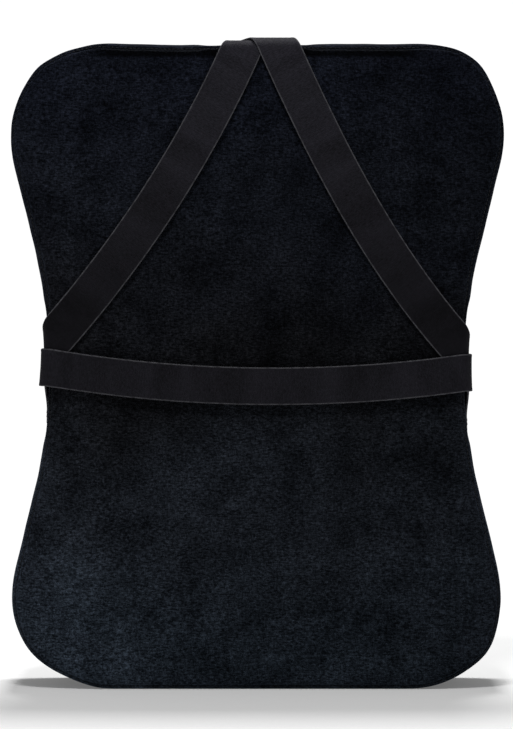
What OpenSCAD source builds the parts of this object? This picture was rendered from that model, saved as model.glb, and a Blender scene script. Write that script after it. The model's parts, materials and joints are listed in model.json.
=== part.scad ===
// Lumbar support cushion with an elastic harness for the back of a chair.
// A contoured foam core in a liner, inside a boxed cover that zips along the base.
// Three elastic straps are sewn to the boxing band and pass across the back:
// one round the waist and two that run down from the top edge to the sides.
//
// Frame: +Z up, +X across the back to the right, +Y towards the sitter.
// The origin is the middle of the bottom edge of the flat back face.

/* [Outline] */
// Height of the cushion
cushion_h = 430; // [358:1:516]
// Width across the upper lobes
upper_w = 330; // [300:1:396]
// Width across the lower lobes
lower_w = 327; // [300:1:392]
// Width across the narrow waist
waist_w = 277; // [240:1:290]
// Height of the waist above the base
waist_z = 215; // [190:1:240]
// Radius of the two upper corners
upper_r = 60; // [40:1:80]
// Radius of the two lower corners
lower_r = 60; // [40:1:80]
// Length of the straight run between each corner and the inward curve of the waist
flank_l = 60; // [40:1:70]

/* [Depth] */
// Depth from back to front at the base
base_d = 84; // [70:1:101]
// Depth at the fullest part of the lumbar bulge
lumbar_d = 104; // [90:1:125]
// Height of the fullest part of the bulge
lumbar_z = 150; // [120:1:190]
// Depth at the top edge
top_d = 56; // [50:1:75]

/* [Cover and filling] */
// Thickness of the bonded velour of the cover
cover_t = 2.4; // [1.5:0.1:4]
// Thickness of the liner round the foam
liner_t = 0.8; // [0.5:0.1:1.5]
// Radius at which the straps turn round the edge of the cover
edge_r = 5; // [4:0.5:10]

/* [Straps] */
// Width of the waist strap
waist_strap_w = 25; // [20:1:30]
// Width of each shoulder strap
shoulder_strap_w = 27; // [20:1:30]
// Thickness of the elastic webbing
strap_t = 1.4; // [1:0.1:2.5]
// Gap between a strap and the edge that it turns round
strap_edge_gap = 3.2; // [2.3:0.1:4]
// How much further the straps stand off the middle of the back
strap_bow = 5.4; // [4.5:0.1:12]
// Height of the waist strap's centre at the middle of the back
waist_strap_z = 203; // [190:1:215]
// Height that the waist strap gains from the middle to each edge
waist_strap_rise = 10.5; // [0:0.5:15]
// Height by which the waist strap's left end is above its right end
waist_strap_tilt = 3.6; // [0:0.2:8]
// Distance of the left strap's centre from the middle, at the top edge
left_top_x = 10.8; // [8:0.2:40]
// Distance of the right strap's centre from the middle, at the top edge
right_top_x = 16.6; // [8:0.2:40]
// Height of the left strap's centre where it reaches the side
left_side_z = 239.7; // [230:0.1:250]
// Height of the right strap's centre where it reaches the side
right_side_z = 234.5; // [230:0.1:250]
// Lean of the shoulder straps from the vertical at the top edge
top_lean = 24; // [15:1:30]
// Lean of the shoulder straps from the vertical at the side
side_lean = 41; // [35:1:50]
// Depth on the side of the cover at which the straps are sewn
side_sewn_y = 50; // [40:1:60]
// How far a shoulder strap drops from the edge of the back to its sewn end
side_drop = 52; // [48:1:60]
// Depth on the top of the cover at which the straps are sewn
top_sewn_y = 46; // [36:1:46]

/* [Zip] */
// Half the length of the zip's chain
zip_half = 84; // [60:1:88]
// Width of one zip tape
tape_w = 12; // [10:1:15]
// Thickness of the zip tape
tape_t = 0.6; // [0.4:0.1:0.8]
// Pitch of the zip's teeth
tooth_pitch = 2; // [1.6:0.1:3]
// Width of the zip slider
slider_w = 9; // [7.5:0.1:10.8]
// Length of the zip slider
slider_l = 12; // [10:0.5:14]
// Length of the zip pull beyond its eye
pull_l = 16; // [10:1:18]

/* [Hidden] */
$fn = 32;

// Clearances
seam_gap = 0.3;         // between two sewn pieces of the cover
fill_gap = 0.3;         // between the cover, the liner and the foam
strap_seat = 0.4;       // between a sewn strap end and what it lies on
strap_layer_gap = 0.5;  // between two straps that cross
tack_gap = 0.45;        // between a bar tack and the strap below it
zip_gap = 0.3;          // round the moving parts of the zip

// Outline arcs
corner_steps = 12;      // segments in each corner arc
waist_steps = 6;        // segments in each half of a waist arc
roll_steps = 4;         // steps in the rolled edge of the back panel
depth_steps = 40;       // segments in the front face, base to top
reach = 200;            // further than any piece reaches from the back face
lower_centre = [lower_w / 2 - lower_r, lower_r];
upper_centre = [upper_w / 2 - upper_r, cushion_h - upper_r];
lower_bend = waist_radius(lower_centre, lower_r);
upper_bend = waist_radius(upper_centre, upper_r);
lower_lean = flank_lean(lower_centre, lower_r, lower_bend);
upper_lean = flank_lean(upper_centre, upper_r, upper_bend);

// Insets of the layers inside the cover
liner_in = cover_t + fill_gap;
foam_in = liner_in + liner_t + fill_gap;

// Base band: flat part of the base, split along the zip
base_half = lower_centre.x - seam_gap / 2;
zip_y = base_d / 2;
channel_half = slider_w / 2 + 1;
lip_t = 1.8;            // turned-in edge of the band beside the zip

// Heights of the zip's parts above the base, from the outside in
arch_t = 1;             // thickness of the slider's arch
arch_room = 1.5;        // room for the pull's bar inside the arch
plate_t = 0.8;          // thickness of each slider plate
teeth_h = 2.2;          // height of the teeth
arch_z = 0.9;
lower_plate_z = arch_z + arch_t + arch_room;
teeth_z = lower_plate_z + plate_t + zip_gap;
upper_plate_z = teeth_z + teeth_h + zip_gap;
tape_z = teeth_z + (teeth_h - tape_t) / 2;
lip_z = tape_z - zip_gap;
groove_z = upper_plate_z + plate_t + 2 * zip_gap;
groove_half_x = base_half + fill_gap;
groove_half_y = channel_half + tape_w + 2;

// Zip chain
slit_half = 0.6;        // half the slit between the two rows of teeth
tooth_l = 1.5;          // reach of a tooth towards the slit
spine_w = 1;            // strip that carries the teeth
tooth_w = tooth_pitch * 0.6;
chain_half = slit_half + tooth_l + spine_w;
tape_in = chain_half + 0.2;
tape_half_x = zip_half + 12;
slider_x = zip_half - slider_l / 2 - 1;
bar_r = 0.55;           // radius of the pull's bar inside the slider's arch
bar_z = arch_z + arch_t + arch_room / 2;
arch_half_x = 2.4;      // inner half-length of the slider's arch
arch_leg = 1.2;
arch_w = 1.6;
web_l = 4;              // length of the web that joins the slider's plates
top_stop_l = 3;
bottom_stop_l = 4;

// Strap wrap
mid_h = strap_t / 2;
layer_h = strap_t + strap_layer_gap;
bow_run = 55;           // distance from an edge over which the straps bow out
roll_r = edge_r + strap_edge_gap + mid_h;
roll_l = roll_r * PI / 2;
land_run = 24;          // distance from the edge to where a strap lies down
lift_z = cushion_h - 90;
lift_run = 60;
top_run = (roll_l + top_sewn_y - edge_r) / cos(top_lean);
fine = 2.5;             // station spacing where a strap turns an edge
coarse = 5;             // station spacing on the back

// Bar tacks
tack_w = 1.8;
tack_h = 0.6;
tack_pitch = 5;
tack_end = 3;           // distance of the last tack from the strap's end

// ---------------------------------------------------------------- functions

// Eased step from 0 to 1
function smooth(t) = let (u = min(1, max(0, t))) u * u * (3 - 2 * u);
function wave(t) = (1 - cos(180 * t)) / 2;

// Depth of the front face at a height
function front_y(z) =
    z < lumbar_z
    ? base_d + (lumbar_d - base_d) * wave(max(0, z) / lumbar_z)
    : top_d + (lumbar_d - top_d) * wave((cushion_h - min(z, cushion_h)) / (cushion_h - lumbar_z));

// Radius of the waist curve that leaves a straight run of flank_l to a corner
function waist_radius(centre, r) =
    let (dx = waist_w / 2 - centre.x, dz = waist_z - centre.y)
    (dx * dx + dz * dz - flank_l * flank_l - r * r) / (2 * (r - dx));

// Lean from the vertical of the straight run between a corner and the waist curve
function flank_lean(centre, r, bend) =
    let (dx = waist_w / 2 + bend - centre.x, dz = abs(waist_z - centre.y))
    atan2(dz, dx) - atan2(flank_l, r + bend);

function arc(centre, r, from, to, steps) =
    [for (i = [0:steps]) let (a = from + (to - from) * i / steps)
        centre + r * [cos(a), sin(a)]];

// Right half of the outline, inset by d, from the base to the top
function half_outline(d) =
    let (above = arc([waist_w / 2 + upper_bend, waist_z], upper_bend + d,
             180, 180 - upper_lean, waist_steps))
    concat(
        arc(lower_centre, lower_r - d, -90, lower_lean, corner_steps),
        arc([waist_w / 2 + lower_bend, waist_z], lower_bend + d, 180 + lower_lean, 180, waist_steps),
        [for (i = [1:waist_steps]) above[i]],
        arc(upper_centre, upper_r - d, -upper_lean, 90, corner_steps));

function outline(d) =
    let (right = half_outline(d), n = len(right) - 1)
    concat(right, [for (i = [n:-1:0]) [-right[i].x, right[i].y]]);

// The outline inset by d for a rolled edge that fades out towards the base
function rolled_outline(d) =
    let (plain = outline(0), inset = outline(d))
    [for (i = [0:len(plain) - 1])
        plain[i] + (inset[i] - plain[i]) * smooth(plain[i].y / lower_r)];

// Half-width of the outline at the waist and along the straight runs
function side_x(z) =
    let (bend = z < waist_z ? lower_bend : upper_bend,
         lean = z < waist_z ? lower_lean : upper_lean,
         h = abs(z - waist_z), arc_h = min(h, bend * sin(lean)))
    waist_w / 2 + bend - sqrt(bend * bend - arc_h * arc_h) + (h - arc_h) * tan(lean);

function front_line(inset) =
    [for (i = [-1:depth_steps + 1]) let (z = cushion_h * i / depth_steps)
        [front_y(z) - inset, z]];

function reversed(list) = [for (i = [len(list) - 1:-1:0]) list[i]];

function bezier3(a, b, c, d, t) =
    let (s = 1 - t) s * s * s * a + 3 * s * s * t * b + 3 * s * t * t * c + t * t * t * d;
function bezier2(a, b, c, t) = let (s = 1 - t) s * s * a + 2 * s * t * b + t * t * c;

// Height of a strap's middle plane over the cover.
// s is how far the point is past the line where the strap starts to turn.
function landed(s, roll) =
    strap_edge_gap + (strap_seat - strap_edge_gap) * smooth((s - roll) / land_run);
function bowed(u, v) = strap_edge_gap + strap_bow * smooth(u / bow_run) * smooth(v / bow_run);

// [out, y] of a point that is s past the turning line, e above the middle plane
function turned(s, lift, e) =
    let (r = roll_r + lift, roll = r * PI / 2, a = 180 * s / (PI * r))
    s < roll
    ? [(r + e) * sin(a), edge_r - (r + e) * cos(a)]
    : [edge_r + landed(s, roll) + mid_h + lift + e, edge_r + s - roll];

// Place on the wrapped surface of a point [x, z] of the flat strap pattern
function wrapped(x, z, lift, e) =
    let (fold_x = side_x(z) - edge_r, fold_z = cushion_h - edge_r,
         s = abs(x) - fold_x, q = z - fold_z)
    s > 0
    ? let (p = turned(s, lift, e)) [sign(x) * (fold_x + p.x), p.y, z]
    : q > 0
    ? let (p = turned(q, lift, e)) [x, p.y, fold_z + p.x]
    : [x, -(bowed(-s, -q) + mid_h + lift + e), z];

// Pattern centre line of a shoulder strap, from its sewn top end to its sewn side end
function shoulder_line(top_x, side_z) =
    let (up = [-sin(top_lean), cos(top_lean)],
         down = [sin(side_lean), -cos(side_lean)],
         a = [top_x, cushion_h - edge_r + 0.5],
         d = [side_x(side_z) - edge_r - 4, side_z],
         handle = norm(d - a) / 3,
         end = [side_x(side_z) - edge_r + roll_l + side_sewn_y - edge_r, side_z - side_drop],
         turn = d + down * (norm(end - d) * 0.45),
         n_top = ceil(top_run / fine),
         n_back = ceil(norm(d - a) / coarse),
         n_side = ceil(norm(end - d) / fine))
    concat(
        [for (i = [0:n_top - 1]) a + up * (top_run * (1 - i / n_top))],
        [for (i = [0:n_back - 1]) bezier3(a, a - up * handle, d - down * handle, d, i / n_back)],
        [for (i = [0:n_side]) bezier2(d, turn, end, i / n_side)]);

function waist_end_x(side) =
    side_x(waist_line_z(side * waist_w / 2)) - edge_r
    + (roll_r + layer_h) * PI / 2 + side_sewn_y - edge_r;
function waist_line_z(x) =
    let (t = min(1, abs(x) / (waist_w / 2)))
    waist_strap_z + waist_strap_rise * t * t - waist_strap_tilt / 2 * sign(x) * t;
function waist_line() =
    let (edge = waist_w / 2 - 2 * edge_r, n_back = ceil(2 * edge / coarse))
    concat(
        [for (x = [-waist_end_x(-1):fine:-edge]) [x, waist_line_z(x)]],
        [for (i = [1:n_back]) let (x = -edge + 2 * edge * i / n_back) [x, waist_line_z(x)]],
        [for (i = [1:ceil((waist_end_x(1) - edge) / fine)])
            let (x = edge + (waist_end_x(1) - edge) * i / ceil((waist_end_x(1) - edge) / fine))
            [x, waist_line_z(x)]]);

// Unit direction of a line of points at point i
function heading(line, i) =
    let (a = line[max(0, i - 1)], b = line[min(len(line) - 1, i + 1)]) (b - a) / norm(b - a);

// Lift of the right shoulder strap, which lies over the left one at the top
function over_lift(z) = layer_h * smooth((z - lift_z) / lift_run);

// ------------------------------------------------------------ solid helpers

// The outline inset by d, from depth y0 to depth y1
module plate(d, y0, y1) {
    translate([0, y1, 0]) rotate([90, 0, 0]) linear_extrude(y1 - y0) polygon(outline(d));
}

// Everything behind the front face moved back by inset
module behind_front(inset) {
    rotate([90, 0, 90]) linear_extrude(2 * reach, center = true)
        polygon(concat([[-reach, -reach], [front_line(inset)[0].x, -reach]], front_line(inset),
            [[front_line(inset)[depth_steps + 2].x, cushion_h + reach], [-reach, cushion_h + reach]]));
}

// The cushion's body with every face moved in by d
module filled(d) {
    intersection() {
        plate(d, d, reach);
        behind_front(d);
    }
}

// Room for the zip in the underside of the filling, grown by g
module zip_groove(g) {
    translate([-groove_half_x - g, zip_y - groove_half_y - g, -1])
        cube([2 * (groove_half_x + g), 2 * (groove_half_y + g), groove_z + g + 1]);
}

// A flat webbing strap laid over the cover along a pattern line.
// rise gives each pattern point's lift over the lowest layer: 0 none, 1 a full
// layer, 2 only near the top edge.
module webbing(line, w, columns, rise) {
    n = len(line) - 1;
    m = columns;
    grid = [for (e = [-mid_h, mid_h]) for (i = [0:n]) for (j = [0:m])
        let (h = heading(line, i), across = [h.y, -h.x], p = line[i] + across * w * (j / m - 0.5),
             lift = rise == 2 ? over_lift(p.y) : rise * layer_h)
        wrapped(p.x, p.y, lift, e)];
    top = (n + 1) * (m + 1);
    function at(i, j) = i * (m + 1) + j;
    polyhedron(points = grid, faces = concat(
        [for (i = [0:n - 1]) for (j = [0:m - 1]) each [
            [at(i, j), at(i, j + 1), at(i + 1, j + 1)],
            [at(i, j), at(i + 1, j + 1), at(i + 1, j)],
            [top + at(i, j), top + at(i + 1, j), top + at(i + 1, j + 1)],
            [top + at(i, j), top + at(i + 1, j + 1), top + at(i, j + 1)]]],
        [for (i = [0:n - 1]) each [
            [at(i, 0), at(i + 1, 0), top + at(i, 0)],
            [at(i + 1, 0), top + at(i + 1, 0), top + at(i, 0)],
            [at(i, m), top + at(i, m), at(i + 1, m)],
            [at(i + 1, m), top + at(i, m), top + at(i + 1, m)]]],
        [for (j = [0:m - 1]) each [
            [at(0, j), top + at(0, j), at(0, j + 1)],
            [at(0, j + 1), top + at(0, j), top + at(0, j + 1)],
            [at(n, j), at(n, j + 1), top + at(n, j)],
            [at(n, j + 1), top + at(n, j + 1), top + at(n, j)]]]));
}

// A bar tack of length l along X, lying on the XY plane
module bar_tack(l) {
    linear_extrude(tack_h) {
        square([l - tack_w, tack_w], center = true);
        for (side = [-1, 1]) translate([side * (l - tack_w) / 2, 0]) circle(d = tack_w);
    }
}

// Bar tacks across a strap end on the right side of the cover.
// line is the strap's pattern line, lift its layer, l the length of each tack.
module side_tack_pair(line, lift, l) {
    n = len(line) - 1;
    h = heading(line, n);
    end_z = line[n].y;
    top = strap_seat + lift + strap_t + tack_gap;
    for (k = [0, 1]) {
        back = h * (tack_end + k * tack_pitch);
        z = end_z - back.y;
        slope = atan(side_x(z + 0.5) - side_x(z - 0.5));
        translate([side_x(z) + top, side_sewn_y - back.x, z]) rotate([0, slope, 0])
            rotate([atan2(h.y, h.x), 0, 0]) rotate([90, 0, 90]) rotate(90) bar_tack(l);
    }
}

// Bar tacks across a shoulder strap's end on the top of the cover.
// side is 1 for the right strap and -1 for the left one.
module top_tack_pair(top_x, side, lift, from, to) {
    for (k = [0, 1]) {
        back = tack_end + k * tack_pitch;
        x = top_x - (top_run - back) * sin(top_lean);
        y = top_sewn_y - back * cos(top_lean);
        translate([side * x, y, cushion_h + strap_seat + lift + strap_t + tack_gap])
            rotate(-side * top_lean) translate([side * (from + to) / 2, 0]) bar_tack(to - from);
    }
}

// ------------------------------------------------------------------ filling

module foam_core() {
    color([0.86, 0.84, 0.78]) difference() {
        filled(foam_in);
        zip_groove(liner_t + fill_gap);
    }
}

module inner_liner() {
    color([0.78, 0.78, 0.76]) difference() {
        filled(liner_in);
        zip_groove(0);
        difference() {
            filled(liner_in + liner_t);
            zip_groove(liner_t);
        }
    }
}

// -------------------------------------------------------------------- cover

module cover_back_panel() {
    step = cover_t / roll_steps;
    color([0.055, 0.058, 0.07]) translate([0, cover_t, 0]) rotate([90, 0, 0])
        for (i = [0:roll_steps - 1]) linear_extrude(cover_t - i * step)
            polygon(rolled_outline(
                cover_t - sqrt(pow(cover_t, 2) - pow(cover_t - i * step, 2))));
}

module cover_front_panel() {
    color([0.06, 0.064, 0.078]) intersection() {
        plate(0, cover_t, reach);
        difference() {
            behind_front(0);
            behind_front(cover_t);
        }
    }
}

module cover_boxing_band() {
    color([0.05, 0.053, 0.064]) difference() {
        intersection() {
            plate(0, cover_t + seam_gap, reach);
            behind_front(cover_t + seam_gap);
        }
        plate(cover_t, 0, reach + 1);
        translate([-base_half - seam_gap, 0, -1])
            cube([2 * (base_half + seam_gap), reach, lower_r / 2]);
    }
}

module cover_base_band_rear() {
    color([0.05, 0.053, 0.064]) translate([-base_half, 0, 0]) {
        translate([0, cover_t + seam_gap, 0])
            cube([2 * base_half, zip_y - channel_half - cover_t - seam_gap, cover_t]);
        translate([0, zip_y - channel_half - lip_t, 0]) cube([2 * base_half, lip_t, lip_z]);
    }
}

module cover_base_band_front() {
    color([0.05, 0.053, 0.064]) translate([-base_half, zip_y + channel_half, 0]) {
        cube([2 * base_half, base_d - cover_t - seam_gap - zip_y - channel_half, cover_t]);
        cube([2 * base_half, lip_t, lip_z]);
    }
}

// ---------------------------------------------------------------------- zip

// One tape, on the front side of the chain
module tape() {
    translate([-tape_half_x, tape_in, tape_z]) cube([2 * tape_half_x, tape_w, tape_t]);
}

// One row of teeth, on the front side of the slit; shift moves it along the zip
module teeth(shift) {
    count = floor((2 * zip_half - tooth_pitch) / tooth_pitch);
    start = -zip_half + shift;
    comb = [for (i = [0:count - 1]) let (x = start + i * tooth_pitch) each [
        [x, slit_half + tooth_l], [x, slit_half],
        [x + tooth_w, slit_half], [x + tooth_w, slit_half + tooth_l]]];
    translate([0, 0, teeth_z]) linear_extrude(teeth_h)
        polygon(concat([[-zip_half, chain_half], [-zip_half, slit_half + tooth_l]],
            shift > 0 ? comb : [for (i = [1:len(comb) - 1]) comb[i]],
            [[zip_half, slit_half + tooth_l], [zip_half, chain_half]]));
}

module zip_tape_front() {
    color([0.03, 0.03, 0.035]) translate([0, zip_y, 0]) tape();
}

module zip_tape_rear() {
    color([0.03, 0.03, 0.035]) translate([0, zip_y, 0]) mirror([0, 1, 0]) tape();
}

module zip_teeth_front() {
    color([0.04, 0.04, 0.045]) translate([0, zip_y, 0]) teeth(0);
}

module zip_teeth_rear() {
    color([0.04, 0.04, 0.045]) translate([0, zip_y, 0]) mirror([0, 1, 0]) teeth(tooth_pitch / 2);
}

module zip_top_stops() {
    color([0.1, 0.1, 0.11]) for (side = [-1, 1])
        translate([zip_half + zip_gap, zip_y + side * (slit_half + chain_half) / 2, teeth_z])
            linear_extrude(teeth_h) translate([top_stop_l / 2, 0])
                square([top_stop_l, chain_half - slit_half], center = true);
}

module zip_bottom_stop() {
    color([0.1, 0.1, 0.11])
        translate([-zip_half - zip_gap - bottom_stop_l, zip_y - chain_half, teeth_z])
            cube([bottom_stop_l, 2 * chain_half, teeth_h]);
}

module zip_slider() {
    flange_t = 1;
    wing = slider_w / 2 - flange_t;
    color([0.12, 0.12, 0.13]) translate([slider_x, zip_y, 0]) {
        for (z = [lower_plate_z, upper_plate_z])
            translate([-slider_l / 2, -slider_w / 2, z]) cube([slider_l, slider_w, plate_t]);
        for (side = [-1, 1]) translate([-slider_l / 2, side * (wing + flange_t / 2) - flange_t / 2, 0]) {
            translate([0, 0, lower_plate_z]) cube([slider_l, flange_t, tape_z - zip_gap - lower_plate_z]);
            translate([0, 0, tape_z + tape_t + zip_gap])
                cube([slider_l, flange_t, upper_plate_z - tape_z - tape_t]);
        }
        translate([slider_l / 2 - web_l, -slit_half / 2, lower_plate_z])
            cube([web_l, slit_half, upper_plate_z - lower_plate_z + plate_t]);
        translate([-arch_half_x - arch_leg, -arch_w / 2, arch_z])
            cube([2 * (arch_half_x + arch_leg), arch_w, arch_t]);
        for (side = [-1, 1])
            translate([side * (arch_half_x + arch_leg / 2) - arch_leg / 2, -arch_w / 2, arch_z])
                cube([arch_leg, arch_w, lower_plate_z - arch_z + plate_t / 2]);
    }
}

module zip_pull() {
    eye_w = arch_w / 2 + 0.6;
    arm_w = 1.2;
    eye_l = arch_half_x + arch_leg + 2;
    pull_t = 1;
    half_w = eye_w + arm_w;
    color([0.12, 0.12, 0.13]) translate([slider_x, zip_y, bar_z]) {
        rotate([90, 0, 0]) cylinder(r = bar_r, h = 2 * half_w, center = true);
        translate([0, 0, -pull_t / 2]) linear_extrude(pull_t) difference() {
            union() {
                translate([-eye_l - pull_l, -half_w]) square([eye_l + pull_l, 2 * half_w]);
                translate([-eye_l - pull_l, 0]) circle(r = half_w);
            }
            translate([-eye_l, -eye_w]) square([eye_l + 1, 2 * eye_w]);
        }
    }
}

// ------------------------------------------------------------------- straps

module right_shoulder_strap() {
    color([0.11, 0.11, 0.13])
        webbing(shoulder_line(right_top_x, right_side_z), shoulder_strap_w, 6, 2);
}

module left_shoulder_strap() {
    color([0.10, 0.10, 0.12]) mirror([1, 0, 0])
        webbing(shoulder_line(left_top_x, left_side_z), shoulder_strap_w, 6, 0);
}

module waist_strap() {
    color([0.09, 0.09, 0.10]) webbing(waist_line(), waist_strap_w, 2, 1);
}

module top_tacks() {
    color([0.03, 0.03, 0.035]) {
        top_tack_pair(right_top_x, 1, layer_h, -10.5, 10.5);
        top_tack_pair(left_top_x, -1, 0, -11.5, -2.5);
    }
}

module side_tacks_right() {
    color([0.03, 0.03, 0.035]) {
        side_tack_pair(shoulder_line(right_top_x, right_side_z), 0, shoulder_strap_w - 7);
        side_tack_pair(waist_line(), layer_h, waist_strap_w - 7);
    }
}

module side_tacks_left() {
    flipped = [for (p = reversed(waist_line())) [-p.x, p.y]];
    color([0.03, 0.03, 0.035]) mirror([1, 0, 0]) {
        side_tack_pair(shoulder_line(left_top_x, left_side_z), 0, shoulder_strap_w - 7);
        side_tack_pair(flipped, layer_h, waist_strap_w - 7);
    }
}

foam_core();
inner_liner();
cover_back_panel();
cover_front_panel();
cover_boxing_band();
cover_base_band_rear();
cover_base_band_front();
zip_tape_rear();
zip_tape_front();
zip_teeth_rear();
zip_teeth_front();
zip_top_stops();
zip_bottom_stop();
zip_slider();
zip_pull();
left_shoulder_strap();
right_shoulder_strap();
waist_strap();
top_tacks();
side_tacks_left();
side_tacks_right();
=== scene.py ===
"""Lumbar support cushion: foam in a zipped velour cover, held to a chair by three elastic straps."""

import json
import logging
import math
from collections.abc import Iterable, Sequence
from dataclasses import dataclass, field
from enum import Enum

import bmesh
import bpy
import numpy as np
from mathutils import Matrix, Vector, noise

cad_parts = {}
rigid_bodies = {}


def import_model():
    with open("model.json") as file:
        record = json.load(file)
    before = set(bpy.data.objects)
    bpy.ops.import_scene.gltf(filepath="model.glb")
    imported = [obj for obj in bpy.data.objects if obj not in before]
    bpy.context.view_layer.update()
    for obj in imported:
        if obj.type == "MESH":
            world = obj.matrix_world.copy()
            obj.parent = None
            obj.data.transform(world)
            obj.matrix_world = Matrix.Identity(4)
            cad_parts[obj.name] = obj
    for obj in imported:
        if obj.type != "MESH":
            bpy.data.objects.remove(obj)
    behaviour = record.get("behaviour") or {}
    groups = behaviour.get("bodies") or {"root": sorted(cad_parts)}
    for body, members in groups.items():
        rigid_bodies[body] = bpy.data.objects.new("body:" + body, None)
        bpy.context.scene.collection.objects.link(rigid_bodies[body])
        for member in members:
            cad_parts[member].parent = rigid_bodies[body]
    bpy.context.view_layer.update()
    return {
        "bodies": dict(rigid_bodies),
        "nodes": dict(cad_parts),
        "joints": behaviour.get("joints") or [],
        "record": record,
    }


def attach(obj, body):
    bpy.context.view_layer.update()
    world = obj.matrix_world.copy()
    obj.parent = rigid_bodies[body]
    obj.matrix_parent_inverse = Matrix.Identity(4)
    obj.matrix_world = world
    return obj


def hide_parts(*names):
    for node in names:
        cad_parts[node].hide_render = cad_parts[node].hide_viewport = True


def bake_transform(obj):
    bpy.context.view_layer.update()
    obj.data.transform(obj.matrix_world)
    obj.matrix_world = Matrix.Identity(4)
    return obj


LOG = logging.getLogger("cushion")
MM = 0.001
# the two edges of the zip's channel in the underside, in mm from the back
CHANNEL_EDGES = (36.5, 47.5)
Colour = tuple[float, float, float]


class Body(Enum):
    """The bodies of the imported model."""

    CUSHION = "cushion"
    WAIST = "waist_strap"
    LEFT = "left_shoulder_strap"
    RIGHT = "right_shoulder_strap"
    SLIDER = "zip_slider"
    PULL = "zip_pull"


class Slot(Enum):
    """The record's material slots."""

    VELOUR = "velour"
    WEBBING = "webbing"
    THREAD = "thread"
    TAPE = "zip_tape"
    NYLON = "zip_nylon"
    METAL = "zip_metal"
    LINER = "liner_cloth"
    FOAM = "foam"


class Region(Enum):
    """The cut pieces of the cover, as stored on its faces."""

    BACK = 0
    FRONT = 1
    BOXING = 2
    BASE_REAR = 3
    BASE_FRONT = 4
    CHANNEL = 5


# ------------------------------------------------------------------ helpers


def ease(t: np.ndarray | float) -> np.ndarray:
    """Eased step from 0 to 1."""
    u = np.clip(t, 0.0, 1.0)
    return u * u * (3.0 - 2.0 * u)


def ripple(x: float, y: float, z: float, scale: float, seed: float) -> float:
    """Smooth repeatable noise from about -1 to 1 at a point given in millimetres.

    Args:
        x: Place across.
        y: Place in depth.
        z: Height.
        scale: Size of the ripples in millimetres.
        seed: Any number, a different pattern for each.

    Returns:
        The noise value.
    """
    return noise.noise(Vector((x / scale + seed, y / scale - seed, z / scale + 2.0 * seed)))


def link(obj: bpy.types.Object) -> bpy.types.Object:
    """Put an object into the scene and return it."""
    bpy.context.scene.collection.objects.link(obj)
    return obj


def mesh_object(name: str, points: np.ndarray, faces: Sequence[Sequence[int]],
                uv: np.ndarray | None = None, smooth: bool = True) -> bpy.types.Object:
    """Make a mesh object at the origin.

    Args:
        name: The object's name.
        points: The vertices in millimetres, in the row frame.
        faces: Vertex numbers of each face, anticlockwise from outside.
        uv: One texture place for each vertex, in metres, or None.
        smooth: Whether the faces are shaded smooth.

    Returns:
        The linked object.
    """
    mesh = bpy.data.meshes.new(name)
    mesh.from_pydata((np.asarray(points, float) * MM).tolist(), [], [list(map(int, f)) for f in faces])
    if uv is not None:
        loops = np.empty(len(mesh.loops), np.int32)
        mesh.loops.foreach_get("vertex_index", loops)
        layer = mesh.uv_layers.new(name="cloth")
        layer.data.foreach_set("uv", np.asarray(uv, np.float32)[loops].ravel())
    mesh.polygons.foreach_set("use_smooth", [smooth] * len(mesh.polygons))
    mesh.validate()
    mesh.update()
    return link(bpy.data.objects.new(name, mesh))


def settle(obj: bpy.types.Object) -> None:
    """Make the evaluated shape the object's own mesh, with no modifiers left."""
    graph = bpy.context.evaluated_depsgraph_get()
    mesh = bpy.data.meshes.new_from_object(obj.evaluated_get(graph), preserve_all_data_layers=True,
                                           depsgraph=graph)
    obj.modifiers.clear()
    old = obj.data
    obj.data = mesh
    mesh.name = old.name + "_final"
    if old.users == 0:
        bpy.data.meshes.remove(old)


def points_of(mesh: bpy.types.Mesh) -> np.ndarray:
    """Vertex places of a mesh in millimetres."""
    flat = np.empty(len(mesh.vertices) * 3, np.float32)
    mesh.vertices.foreach_get("co", flat)
    return flat.reshape(-1, 3).astype(float) / MM


def normals_of(mesh: bpy.types.Mesh) -> np.ndarray:
    """Vertex normals of a mesh."""
    flat = np.empty(len(mesh.vertices) * 3, np.float32)
    mesh.vertex_normals.foreach_get("vector", flat)
    return flat.reshape(-1, 3).astype(float)


def move_points(mesh: bpy.types.Mesh, points: np.ndarray) -> None:
    """Write vertex places in millimetres back to a mesh."""
    mesh.vertices.foreach_set("co", (points * MM).astype(np.float32).ravel())
    mesh.update()


def dress(obj: bpy.types.Object, material: bpy.types.Material) -> None:
    """Give an object one material."""
    obj.data.materials.clear()
    obj.data.materials.append(material)


def place(obj: bpy.types.Object, body: Body, replaced: Iterable[str] = ()) -> None:
    """Tie a finished piece to its body and the CAD nodes it stands for, and report it.

    Args:
        obj: The finished piece.
        body: The body it rides on.
        replaced: Names of the CAD nodes it stands for.
    """
    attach(obj, body.value)
    for node in replaced:
        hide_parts(node)
    LOG.info("%s rides on %s, %d faces", obj.name, body.value, len(obj.data.polygons))


# ---------------------------------------------------------- shader building


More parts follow.
